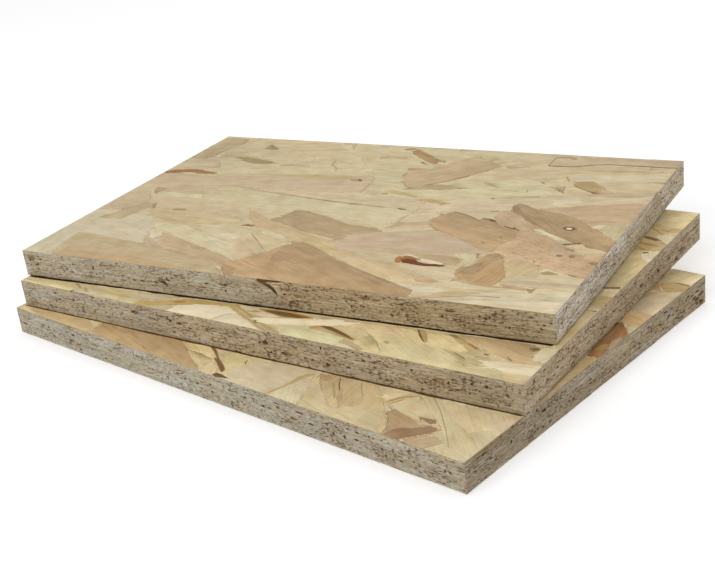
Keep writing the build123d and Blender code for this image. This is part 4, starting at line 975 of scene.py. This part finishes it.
def build(name, rng):
    """Vertices, triangles and corner data of one whole panel, a closed skin."""
    a = ARRIS
    hand = {"board_top": (SIDE_TOP_LONG, SIDE_TOP_SHORT), "board_middle": (SIDE_MID_LONG, SIDE_MID_SHORT),
            "board_bottom": (SIDE_BOT_LONG, SIDE_BOT_SHORT)}[name]
    extra = ()
    grey, here, full = (lambda s: 0.55), (lambda s: np.array((0.90, 0.89, 0.88))), (lambda s: 0.5)
    cross, spent = here, full
    if name == "board_top":
        # the fissure and missing wedge under the near arris, and the greyer cut to its left
        grey = lambda s: 0.95 if s < 153.5 else 0.15
        here = lambda s: (np.array((0.82, 0.84, 0.86)) if s < 153.5 else np.array((0.83, 0.78, 0.68))) * (
            0.95 if 148 < s < 190 else 0.92 if s > 268 else 1.03 if 190 < s < 266 else 1.0)
        full = lambda s: 0.75 if s < 14 else 0.3 if s < 60 else 0.5 if s < 153.5 else 0.85
        # painted light: the top board's short right side is made lighter and bluer
        cross, spent = (lambda s: np.array((1.16, 1.20, 1.33)) if s < 100 else np.array((1.14, 1.15, 1.20))), (lambda s: 0.4)
        extra = (
            ([(162.8, 6.6), (161.3, 9.2), (159.8, 11.2), (157.9, 12.6), (154.9, 14.0), (152.8, 15.6), (166.2, 15.6), (168.1, 14.4), (164.2, 12.6), (163.7, 9.5)][::-1], "warm", -0.32, "strand"),
            ([(152.7, 13.6), (154.9, 12.9), (158.4, 13.4), (164.0, 13.8), (168.6, 14.5), (168.6, 15.6), (152.5, 15.6)], "chip", -0.85, "pit"),
            ([(153.4, 13.9), (156.2, 11.8), (158.6, 10.9), (160.6, 9.6), (162.2, 7.8), (163.6, 6.0), (163.2, 8.6), (161.8, 10.7), (159.8, 12.2), (157.2, 13.3), (154.8, 14.1)], "chip", -0.75, "pit"),
            ([(158.4, 11.0), (160.3, 11.4), (162.7, 8.6), (163.2, 7.4), (161.9, 8.0), (159.9, 10.0)], "chip", -0.8, "pit"),
        )
    elif name == "board_middle":
        grey = lambda s: 0.6 if s < 102.5 else 0.4
        here = lambda s: (np.array((0.82, 0.83, 0.84)) if s < 102.5 else np.array((0.85, 0.82, 0.78))) * (
            0.84 if s > 268 else 0.95 if 76 < s < 114 else 1.045 if s > 114 else 1.0)
        full = lambda s: 0.55 if s < 102.5 else 0.75
        cross, spent = (lambda s: np.array((0.92, 0.86, 0.80))), (lambda s: 0.75)
    elif name == "board_bottom":
        grey = lambda s: 0.85 if s < 200.5 else 0.6
        here = lambda s: np.array((0.79, 0.84, 0.89)) * (1.05 if s < 76 else 1.02) if s < 200.5 else np.array((0.74, 0.755, 0.785)) * (
            1.08 if 228 < s < 266 else 1.02)
        full = lambda s: 0.4 if s < 200.5 else 0.6
        # painted shade: the bottom board's short right side is made darker, as in the shade of the boards above
        cross, spent = (lambda s: np.array((0.65, 0.62, 0.59)) * (1.07 if 72 < s < 100 else 1.0) if s < 100 else np.array((0.74, 0.70, 0.65)) * (0.93 if 148 < s < 178 else 1.0)), (lambda s: 0.7)
    L, W, T = LONG, WIDE, THICK
    X, Y, Z = np.eye(3)
    low = LIFT[name]
    patch = {
        # name: (net, origin, u, v, atlas corner)
        "up": (face(name, rng, True), np.array([a, a, T]), X, Y, (3, 3)),
        "down": (face(name, rng, False), np.array([a, W - a, 0]), X, -Y, (3, 211)),
        "near": (side(L, low, hand[0], rng, grey, here, full, extra), np.array([a, 0, low]), X, Z, (324, 3)),
        "far": (side(L, low, "", rng, lambda s: 0.5, here, full), np.array([L - a, W, low]), -X, Z, (348, 3)),
        "right": (side(W, low, hand[1], rng, lambda s: 0.75 if name == "board_top" else 0.45, cross, spent), np.array([L, a, low]), Y, Z, (372, 3)),
        "left": (side(W, low, "", rng, lambda s: 0.6, here, full), np.array([0, W - a, low]), -Y, Z, (396, 3)),
    }
    places, tris, mats, sharp = [], [], [], []
    tone, look, grain, atlas = [], [], [], []
    chains, at, info = {}, 0, {}
    for key, (net, o, u, v, corner) in patch.items():
        n = np.cross(u, v)
        p, h, t = net["v"], net["h"], net["t"]
        places.append(o + p[:, :1] * u + p[:, 1:] * v + h[:, None] * n)
        broad = key in ("up", "down")
        if broad:
            uvs = np.stack([corner[0] + p[:, 0], corner[1] + p[:, 1]], 1)
        else:
            uvs = np.stack([corner[0] + p[:, 1], corner[1] + p[:, 0]], 1)
        fl = net["flakes"]
        own = net["own"]
        base_tone = TONE["sand"] * 0.8 if broad else SAW["beige"] * here(200.0) * 0.95
        tones = np.array([f.tone for f in fl] + [base_tone])
        looks = np.array([(f.contrast, f.speck, f.rim) for f in fl] + [(1.0, 0.0, 0.0)])
        angle = np.array([f.angle for f in fl] + [0.0])
        shift = np.array([f.shift for f in fl] + [(0.0, 0.0)])
        mid = np.array([f.middle for f in fl] + [(0.0, 0.0)])
        ca, sa = np.cos(angle)[own], np.sin(angle)[own]
        q = p[t] - mid[own][:, None, :]
        gu = q[..., 0] * ca[:, None] + q[..., 1] * sa[:, None] + shift[own][:, None, 0]
        gv = -q[..., 0] * sa[:, None] + q[..., 1] * ca[:, None] + shift[own][:, None, 1]
        grain.append(np.stack([gu, gv], 2))
        # each strand's own drift of tone, and a soft passage at its border
        slant = np.array([(f.along / f.half[0], f.across / f.half[1], f.soft) for f in fl] + [(0.0, 0.0, 0.0)])[own]
        shade = 1 + (gu - shift[own][:, None, 0]) * slant[:, None, 0] + (gv - shift[own][:, None, 1]) * slant[:, None, 1]
        mine = tones[own][:, None, :] * np.clip(shade, 0.6, 1.45)[..., None]
        other = tones[np.clip(net["under"][t], 0, len(fl))]
        part = (slant[:, 2][:, None] * (net["band"][:, None] & net["mixed"][t]))[..., None]
        mine = mine * (1 - part) + other * part
        # painted light: this face is made up to 26% lighter close to the board above, against the shade that falls
        # there
        if key == "up" and name != "board_top":
            start, along, out = contact(name)
            c = p[t] + ARRIS - start
            d, e = c @ out, c @ along
            mine = mine * (1 + 0.26 * np.exp(-np.maximum(d, 0) / 5.0) * (d > 0.3) * (e > 0) * (e < LONG))[..., None]
        tone.append(mine)
        k = np.repeat(looks[own][:, None, :], 3, 1)
        k[..., 2] *= (net["band"][:, None] & net["mixed"][t])
        look.append(k)
        atlas.append(uvs[t])
        tris.append(t + at)
        mats.append(np.full(len(t), 0 if broad else 1))
        sharp.append(net["band"])
        size = (L if key in ("up", "down", "near", "far") else W) - 2 * a
        tall = W - 2 * a if broad else T - a - low
        for edge, pick, axis in (("v0", p[:, 1] < 1e-4, 0), ("v1", p[:, 1] > tall - 1e-4, 0),
                                 ("u0", p[:, 0] < 1e-4, 1), ("u1", p[:, 0] > size - 1e-4, 1)):
            used = np.zeros(len(p), bool)
            used[t.ravel()] = True
            k = np.nonzero(pick & used)[0]
            k = k[np.argsort(p[k, axis])]
            chains[key, edge] = (k + at, p[k, axis])
        info[key] = (corner, size, tall)
        at += len(p)
    places = np.concatenate(places)

    def strip(first, second, flip, outward, colour="warm", width=0.5):
        """Joins two rows of border points. first is the row of a sawn side."""
        (key, edge), (other, oedge) = first, second
        ia, ta = chains[key, edge]
        ib, tb = chains[other, oedge]
        if flip:
            ib, tb = ib[::-1], tb.max() - tb[::-1]
        corner, size, tall = info[key]

        def at_uv(s, beyond):
            # a place in the side's own part of the atlas
            if edge == "v1":
                return (corner[0] + tall + (width if beyond else 0), corner[1] + s)
            if edge == "v0":
                return (corner[0] - (width if beyond else 0), corner[1] + s)
            if edge == "u1":
                return (corner[0] + s, corner[1] + size + (width if beyond else 0))
            return (corner[0] + s, corner[1] - (width if beyond else 0))

        i = j = 0
        tt, uu, gg = [], [], []
        while i < len(ia) - 1 or j < len(ib) - 1:
            if j == len(ib) - 1 or (i < len(ia) - 1 and ta[i + 1] <= tb[j + 1]):
                tri = [(ia[i], ta[i], False), (ia[i + 1], ta[i + 1], False), (ib[j], tb[j], True)]
                i += 1
            else:
                tri = [(ia[i], ta[i], False), (ib[j + 1], tb[j + 1], True), (ib[j], tb[j], True)]
                j += 1
            p0, p1, p2 = (places[k[0]] for k in tri)
            if np.dot(np.cross(p1 - p0, p2 - p0), outward) < 0:
                tri = [tri[0], tri[2], tri[1]]
            tt.append([k[0] for k in tri])
            uu.append([at_uv(k[1], k[2]) for k in tri])
            gg.append([(k[1], 300 + 0.5 * k[2]) for k in tri])
        n = len(tt)
        tris.append(np.array(tt))
        atlas.append(np.array(uu))
        grain.append(np.array(gg, float))
        wob = rng.uniform(0.82, 1.0, n)
        tone.append(np.repeat((SAW[colour] * wob[:, None])[:, None, :], 3, 1))
        look.append(np.tile(np.array([1.0, 0.0, 0.15]), (n, 3, 1)))
        mats.append(np.full(n, 1))
        sharp.append(np.ones(n, bool))

    for key, edge, flip, out in (("near", "v0", False, -Y), ("far", "v1", True, Y),
                                 ("right", "u1", False, X), ("left", "u0", True, -X)):
        strip((key, "v1"), ("up", edge), flip, out + Z)
    for key, edge, flip, out in (("near", "v1", False, -Y), ("far", "v0", True, Y),
                                 ("right", "u1", True, X), ("left", "u0", False, -X)):
        # painted shadow: on the top and middle boards' near sides the lower arris strip gets a near-black tone for the
        # joint
        under = "light" if name == "board_bottom" else "brownish" if key != "near" else "gap" if name == "board_top" else "seam"
        strip((key, "v0"), ("down", edge), flip, out - Z, under)
    strip(("near", "u1"), ("right", "u0"), False, X - Y)
    strip(("right", "u1"), ("far", "u0"), False, X + Y)
    strip(("far", "u1"), ("left", "u0"), False, Y - X)
    strip(("left", "u1"), ("near", "u0"), False, -X - Y)
    # the eight corners
    ends = {}
    for (key, edge), (idx, _) in chains.items():
        for k in (idx[0], idx[-1]):
            where = tuple((places[k] > (L / 2, W / 2, T / 2)).astype(int))
            ends.setdefault((where, key), k)
    for where in {w for w, _ in ends}:
        three = [(key, k) for (w, key), k in ends.items() if w == where]
        out = np.array(where) * 2.0 - 1.0
        tri = [k for _, k in three]
        p0, p1, p2 = places[tri]
        if np.dot(np.cross(p1 - p0, p2 - p0), out) < 0:
            tri = [tri[0], tri[2], tri[1]]
        lane = {"near": 0, "far": 1, "right": 2, "left": 3}[[key for key, _ in three if key in ("near", "far")][0]]
        c = (340.5 + 24 * lane, 330.0 + 8 * (where[0] + 2 * where[2]))
        tris.append(np.array([tri]))
        atlas.append(np.array([[c, (c[0] + 0.5, c[1]), (c[0], c[1] + 0.5)]]))
        grain.append(np.array([[(0, 310), (0.5, 310), (0, 310.5)]], float))
        tone.append(np.tile(SAW["warm"], (1, 3, 1)))
        look.append(np.tile(np.array([1.0, 0.0, 0.1]), (1, 3, 1)))
        mats.append(np.array([1]))
        sharp.append(np.array([True]))
    net = np.concatenate(tris)
    kept, again = np.unique(net, return_inverse=True)
    return {"v": places[kept], "t": again.reshape(-1, 3), "mat": np.concatenate(mats), "sharp": np.concatenate(sharp),
            "tone": np.concatenate(tone), "look": np.concatenate(look), "grain": np.concatenate(grain),
            "atlas": np.concatenate(atlas) / ATLAS}


# ------------------------------------------------------------------ materials


class Net:
    """A short way to write a node tree."""

    def __init__(self, name):
        self.material = bpy.data.materials.new(name)
        self.material.use_nodes = True
        self.tree = self.material.node_tree
        self.tree.nodes.clear()

    def node(self, kind, **values):
        n = self.tree.nodes.new(kind)
        for key, value in values.items():
            if key.startswith("_"):
                setattr(n, key[1:], value)
        for key, value in values.items():
            if not key.startswith("_"):
                socket = n.inputs[int(key[1:])] if key[0] == "i" and key[1:].isdigit() else n.inputs[key.replace("__", " ")]
                if isinstance(value, bpy.types.NodeSocket):
                    self.tree.links.new(value, socket)
                else:
                    socket.default_value = value
        return n

    def math(self, op, a, b=0.0, c=0.0, clamp=False):
        return self.node("ShaderNodeMath", _operation=op, _use_clamp=clamp, i0=a, i1=b, i2=c).outputs[0]

    def scaled(self, vector, x, y, z=1.0):
        return self.node("ShaderNodeVectorMath", _operation="MULTIPLY", i0=vector, i1=(x, y, z)).outputs[0]

    def noise(self, vector, detail=3.0, rough=0.55, distortion=0.0):
        n = self.node("ShaderNodeTexNoise", Vector=vector, Scale=1.0, Detail=detail, Roughness=rough, Distortion=distortion)
        return n.outputs["Fac"]

    def span(self, value, a, b, c, d):
        n = self.node("ShaderNodeMapRange", _clamp=True, i0=value, i1=a, i2=b, i3=c, i4=d)
        return n.outputs[0]

    def times(self, colour, factor):
        return self.node("ShaderNodeVectorMath", _operation="SCALE", i0=colour, Scale=factor).outputs[0]

    def mix(self, factor, a, b):
        n = self.node("ShaderNodeMix", _data_type="RGBA")
        for socket, value in ((n.inputs["Factor"], factor), (n.inputs[6], a), (n.inputs[7], b)):
            if isinstance(value, bpy.types.NodeSocket):
                self.tree.links.new(value, socket)
            else:
                socket.default_value = value
        return n.outputs[2]


def face_material():
    m = Net("strand_face")
    tone = m.node("ShaderNodeAttribute", _attribute_name="tone").outputs["Vector"]
    look = m.node("ShaderNodeAttribute", _attribute_name="look").outputs["Vector"]
    part = m.node("ShaderNodeSeparateXYZ", i0=look)
    contrast, speck, rim = part.outputs[0], part.outputs[1], part.outputs[2]
    g = m.node("ShaderNodeUVMap", _uv_map="grain").outputs[0]
    place = m.scaled(m.node("ShaderNodeUVMap", _uv_map="OFBake").outputs[0], ATLAS, ATLAS)
    # growth bands, streaks and fibres along the grain, then slow cloudy changes
    rings = m.noise(m.scaled(g, 0.008, 0.40), 2.0, 0.5)
    streak = m.noise(m.scaled(g, 0.03, 0.95), 3.0, 0.6)
    fibre = m.noise(m.scaled(g, 0.12, 3.2), 2.0, 0.6)
    cloud = m.noise(m.scaled(g, 0.05, 0.14), 3.0, 0.55)
    mottle = m.noise(m.scaled(place, 0.10, 0.13), 4.0, 0.58)
    v = m.math("MULTIPLY_ADD", m.math("SUBTRACT", rings, 0.5), 0.14, 1.0)
    v = m.math("MULTIPLY_ADD", m.math("SUBTRACT", streak, 0.5), 0.16, v)
    v = m.math("MULTIPLY_ADD", m.math("SUBTRACT", fibre, 0.5), 0.12, v)
    v = m.math("MULTIPLY_ADD", m.math("SUBTRACT", cloud, 0.5), 0.48, v)
    v = m.math("ADD", m.math("MULTIPLY", m.math("SUBTRACT", v, 1.0), contrast), 1.0)
    v = m.math("MULTIPLY_ADD", m.math("SUBTRACT", mottle, 0.5), 0.42, v)
    colour = m.times(tone, v)
    # darker grain is also warmer
    warm = m.node("ShaderNodeVectorMath", _operation="MULTIPLY", i0=colour, i1=(1.0, 0.93, 0.80)).outputs[0]
    colour = m.mix(m.span(m.math("ADD", m.math("MULTIPLY", streak, 0.5), m.math("MULTIPLY", mottle, 0.5)), 0.52, 0.38, 0.0, 0.9), colour, warm)
    # brown and pale streaks along the grain
    smear = m.noise(m.scaled(g, 0.050, 0.62), 3.0, 0.6)
    brown = m.node("ShaderNodeVectorMath", _operation="MULTIPLY", i0=colour, i1=(0.80, 0.68, 0.50)).outputs[0]
    colour = m.mix(m.math("MULTIPLY", m.span(smear, 0.56, 0.70, 0.0, 0.62), m.math("MINIMUM", contrast, 1.6)), colour, brown)
    colour = m.mix(m.span(smear, 0.44, 0.30, 0.0, 0.9), colour, m.times(colour, 1.10))
    # short dark pores along the grain
    pore = m.noise(m.scaled(g, 0.14, 2.2), 2.0, 0.5)
    pore = m.span(pore, 0.64, 0.76, 0.0, 0.5)
    colour = m.mix(pore, colour, m.times(tone, 0.55))
    # specks of decay and bark on some strands
    spots = m.noise(m.scaled(g, 0.30, 0.42), 4.0, 0.62)
    spots = m.math("MULTIPLY", m.span(spots, 0.48, 0.74, 0.0, 0.55), speck)
    colour = m.mix(spots, colour, (0.30, 0.17, 0.095, 1.0))
    # dark line where a strand's border lies in its neighbour
    broken = m.noise(m.scaled(place, 0.11, 0.16), 3.0, 0.6)
    line = m.math("MULTIPLY", rim, m.span(broken, 0.42, 0.60, 0.1, 1.9), clamp=True)
    colour = m.mix(line, colour, (0.13, 0.075, 0.03, 1.0))
    bump = m.math("ADD", m.math("MULTIPLY", fibre, 0.6), m.math("MULTIPLY", rings, 0.5))
    bumped = m.node("ShaderNodeBump", Strength=0.35, Distance=0.00008, Height=bump).outputs[0]
    rough = m.span(fibre, 0.3, 0.7, 0.5, 0.66)
    shade = m.node("ShaderNodeBsdfPrincipled")
    shade.inputs["Specular IOR Level"].default_value = 0.28
    m.tree.links.new(colour, shade.inputs["Base Color"])
    m.tree.links.new(rough, shade.inputs["Roughness"])
    m.tree.links.new(bumped, shade.inputs["Normal"])
    out = m.node("ShaderNodeOutputMaterial")
    m.tree.links.new(shade.outputs[0], out.inputs[0])
    return m.material


def side_material():
    m = Net("strand_sawn")
    tone = m.node("ShaderNodeAttribute", _attribute_name="tone").outputs["Vector"]
    look = m.node("ShaderNodeAttribute", _attribute_name="look").outputs["Vector"]
    part = m.node("ShaderNodeSeparateXYZ", i0=look)
    contrast, dense, rim = part.outputs[0], part.outputs[1], part.outputs[2]
    g = m.node("ShaderNodeUVMap", _uv_map="grain").outputs[0]
    place = m.scaled(m.node("ShaderNodeUVMap", _uv_map="OFBake").outputs[0], ATLAS, ATLAS)
    long = m.noise(m.scaled(g, 0.05, 0.95), 3.0, 0.6)
    fine = m.noise(m.scaled(g, 0.24, 1.6), 3.0, 0.6)
    grit = m.noise(m.scaled(place, 1.35, 0.50), 3.0, 0.62)
    v = m.math("MULTIPLY_ADD", m.math("SUBTRACT", long, 0.5), 0.55, 1.08)
    v = m.math("MULTIPLY_ADD", m.math("SUBTRACT", fine, 0.5), 1.25, v)
    v = m.math("MULTIPLY_ADD", m.math("SUBTRACT", grit, 0.5), 0.75, v)
    v = m.math("ADD", m.math("MULTIPLY", m.math("SUBTRACT", v, 1.0), contrast), 1.0)
    colour = m.times(tone, v)
    warm = m.node("ShaderNodeVectorMath", _operation="MULTIPLY", i0=colour, i1=(0.95, 0.88, 0.77)).outputs[0]
    colour = m.mix(m.span(fine, 0.50, 0.36, 0.0, 0.75), colour, warm)
    # crumbled places: brown stains with open pores in them, in clusters
    crowd = m.noise(m.scaled(place, 0.21, 0.07), 2.0, 0.5)
    limit = m.math("MULTIPLY_ADD", dense, -0.07, 0.642)
    limit = m.math("MULTIPLY_ADD", m.math("SUBTRACT", crowd, 0.5), -0.50, limit)
    pore = m.math("SUBTRACT", m.noise(m.scaled(place, 1.25, 0.46), 3.0, 0.6), limit)
    colour = m.mix(m.span(pore, -0.12, 0.015, 0.0, 0.66), colour, (0.225, 0.150, 0.082, 1.0))
    colour = m.mix(m.span(pore, 0.0, 0.07, 0.0, 0.85), colour, (0.072, 0.043, 0.020, 1.0))
    line = m.math("MULTIPLY", rim, m.span(fine, 0.35, 0.62, 0.4, 1.5), clamp=True)
    colour = m.mix(line, colour, (0.10, 0.062, 0.032, 1.0))
    bump = m.math("ADD", m.math("MULTIPLY", fine, 0.6), m.math("MULTIPLY", grit, 0.7))
    bumped = m.node("ShaderNodeBump", Strength=0.5, Distance=0.00016, Height=bump).outputs[0]
    shade = m.node("ShaderNodeBsdfPrincipled")
    shade.inputs["Specular IOR Level"].default_value = 0.2
    m.tree.links.new(colour, shade.inputs["Base Color"])
    m.tree.links.new(m.span(grit, 0.3, 0.7, 0.78, 0.92), shade.inputs["Roughness"])
    m.tree.links.new(bumped, shade.inputs["Normal"])
    out = m.node("ShaderNodeOutputMaterial")
    m.tree.links.new(shade.outputs[0], out.inputs[0])
    return m.material


MATERIALS = (face_material(), side_material())


def piece(name, seed):
    node, cx, cy, level, turn = PANELS[name]
    d = build(name, np.random.default_rng(seed))
    a = math.radians(turn)
    p = d["v"] - (LONG / 2, WIDE / 2, 0)
    x = p[:, 0] * math.cos(a) - p[:, 1] * math.sin(a) + cx
    y = p[:, 0] * math.sin(a) + p[:, 1] * math.cos(a) + cy
    v = np.stack([x, y, p[:, 2] + level * THICK], 1) / 1000.0
    t = d["t"]
    me = bpy.data.meshes.new(name)
    me.vertices.add(len(v))
    me.vertices.foreach_set("co", v.astype(np.float32).ravel())
    me.loops.add(t.size)
    me.loops.foreach_set("vertex_index", t.astype(np.int32).ravel())
    me.polygons.add(len(t))
    me.polygons.foreach_set("loop_start", np.arange(0, t.size, 3, dtype=np.int32))
    me.polygons.foreach_set("material_index", d["mat"].astype(np.int32))
    me.update(calc_edges=True)
    me.polygons.foreach_set("use_smooth", ~d["sharp"])
    for key, layer in (("atlas", "OFBake"), ("grain", "grain")):
        uv = me.uv_layers.new(name=layer, do_init=False)
        uv.uv.foreach_set("vector", d[key].astype(np.float32).ravel())
    me.uv_layers.active = me.uv_layers["OFBake"]
    me.uv_layers["OFBake"].active_render = True
    for key in ("tone", "look"):
        made = me.attributes.new(key, "FLOAT_VECTOR", "CORNER")
        made.data.foreach_set("vector", d[key].astype(np.float32).ravel())
    for m in MATERIALS:
        me.materials.append(m)
    me.validate(verbose=False)
    ob = bpy.data.objects.new(name, me)
    bpy.context.scene.collection.objects.link(ob)
    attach(ob, "root")
    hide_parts(node)
    print("PIECE", name, len(v), len(t), flush=True)
    return ob


for number, name in enumerate(PANELS):
    piece(name, 40 + number)

# --------------------------------------------------------------------- stage
m = Net("white_floor")
shade = m.node("ShaderNodeBsdfPrincipled")
shade.inputs["Base Color"].default_value = (0.80, 0.80, 0.81, 1.0)
shade.inputs["Emission Color"].default_value = (1.0, 1.0, 1.0, 1.0)
shade.inputs["Emission Strength"].default_value = 0.36
shade.inputs["Roughness"].default_value = 0.9
shade.inputs["Specular IOR Level"].default_value = 0.1
out = m.node("ShaderNodeOutputMaterial")
m.tree.links.new(shade.outputs[0], out.inputs[0])
me = bpy.data.meshes.new("floor")
me.from_pydata([(-4, -4, -0.0002), (4, -4, -0.0002), (4, 4, -0.0002), (-4, 4, -0.0002)], [], [(0, 1, 2, 3)])
me.materials.append(m.material)
floor = bpy.data.objects.new("floor", me)
bpy.context.scene.collection.objects.link(floor)

world = bpy.data.worlds.new("studio")
bpy.context.scene.world = world
world.use_nodes = True
back = world.node_tree.nodes["Background"]
back.inputs[0].default_value = (1.0, 1.0, 1.0, 1.0)
back.inputs[1].default_value = 0.62


def soft_box(name, place, target, size, power, colour):
    light = bpy.data.lights.new(name, "AREA")
    light.shape = "RECTANGLE"
    light.size, light.size_y = size
    light.energy = power
    light.color = colour
    ob = bpy.data.objects.new(name, light)
    ob.location = place
    ob.rotation_euler = (Vector(target) - Vector(place)).to_track_quat("-Z", "Y").to_euler()
    bpy.context.scene.collection.objects.link(ob)


soft_box("box_top", (-0.25, 0.55, 1.5), (0, 0, 0), (1.3, 1.3), 4.0, (1.0, 0.99, 0.97))
soft_box("box_front", (0.25, -1.35, 0.95), (0, 0, 0), (1.4, 0.9), 10.0, (1.0, 0.99, 0.97))

# -------------------------------------------------------------------- camera
camera = bpy.data.cameras.new("camera")
camera.sensor_width = 36.0
camera.lens = 62.1307
camera.clip_start, camera.clip_end = 0.01, 20.0
eye = bpy.data.objects.new("camera", camera)
heading, pitch, roll = math.radians(134.0385), math.radians(23.9191), math.radians(-7.0531)
ahead = Vector((math.cos(heading) * math.cos(pitch), math.sin(heading) * math.cos(pitch), -math.sin(pitch)))
across = Vector((math.sin(heading), -math.cos(heading), 0.0))
above = Vector((math.cos(heading) * math.sin(pitch), math.sin(heading) * math.sin(pitch), math.cos(pitch)))
right = across * math.cos(roll) + above * math.sin(roll)
up = above * math.cos(roll) - across * math.sin(roll)
turn = Matrix((right, up, -ahead)).transposed().to_4x4()
eye.matrix_world = Matrix.Translation((0.414064, -0.418487, 0.274482)) @ turn
bpy.context.scene.collection.objects.link(eye)
bpy.context.scene.camera = eye
bpy.context.scene.view_settings.view_transform = "Standard"
bpy.context.scene.view_settings.look = "None"
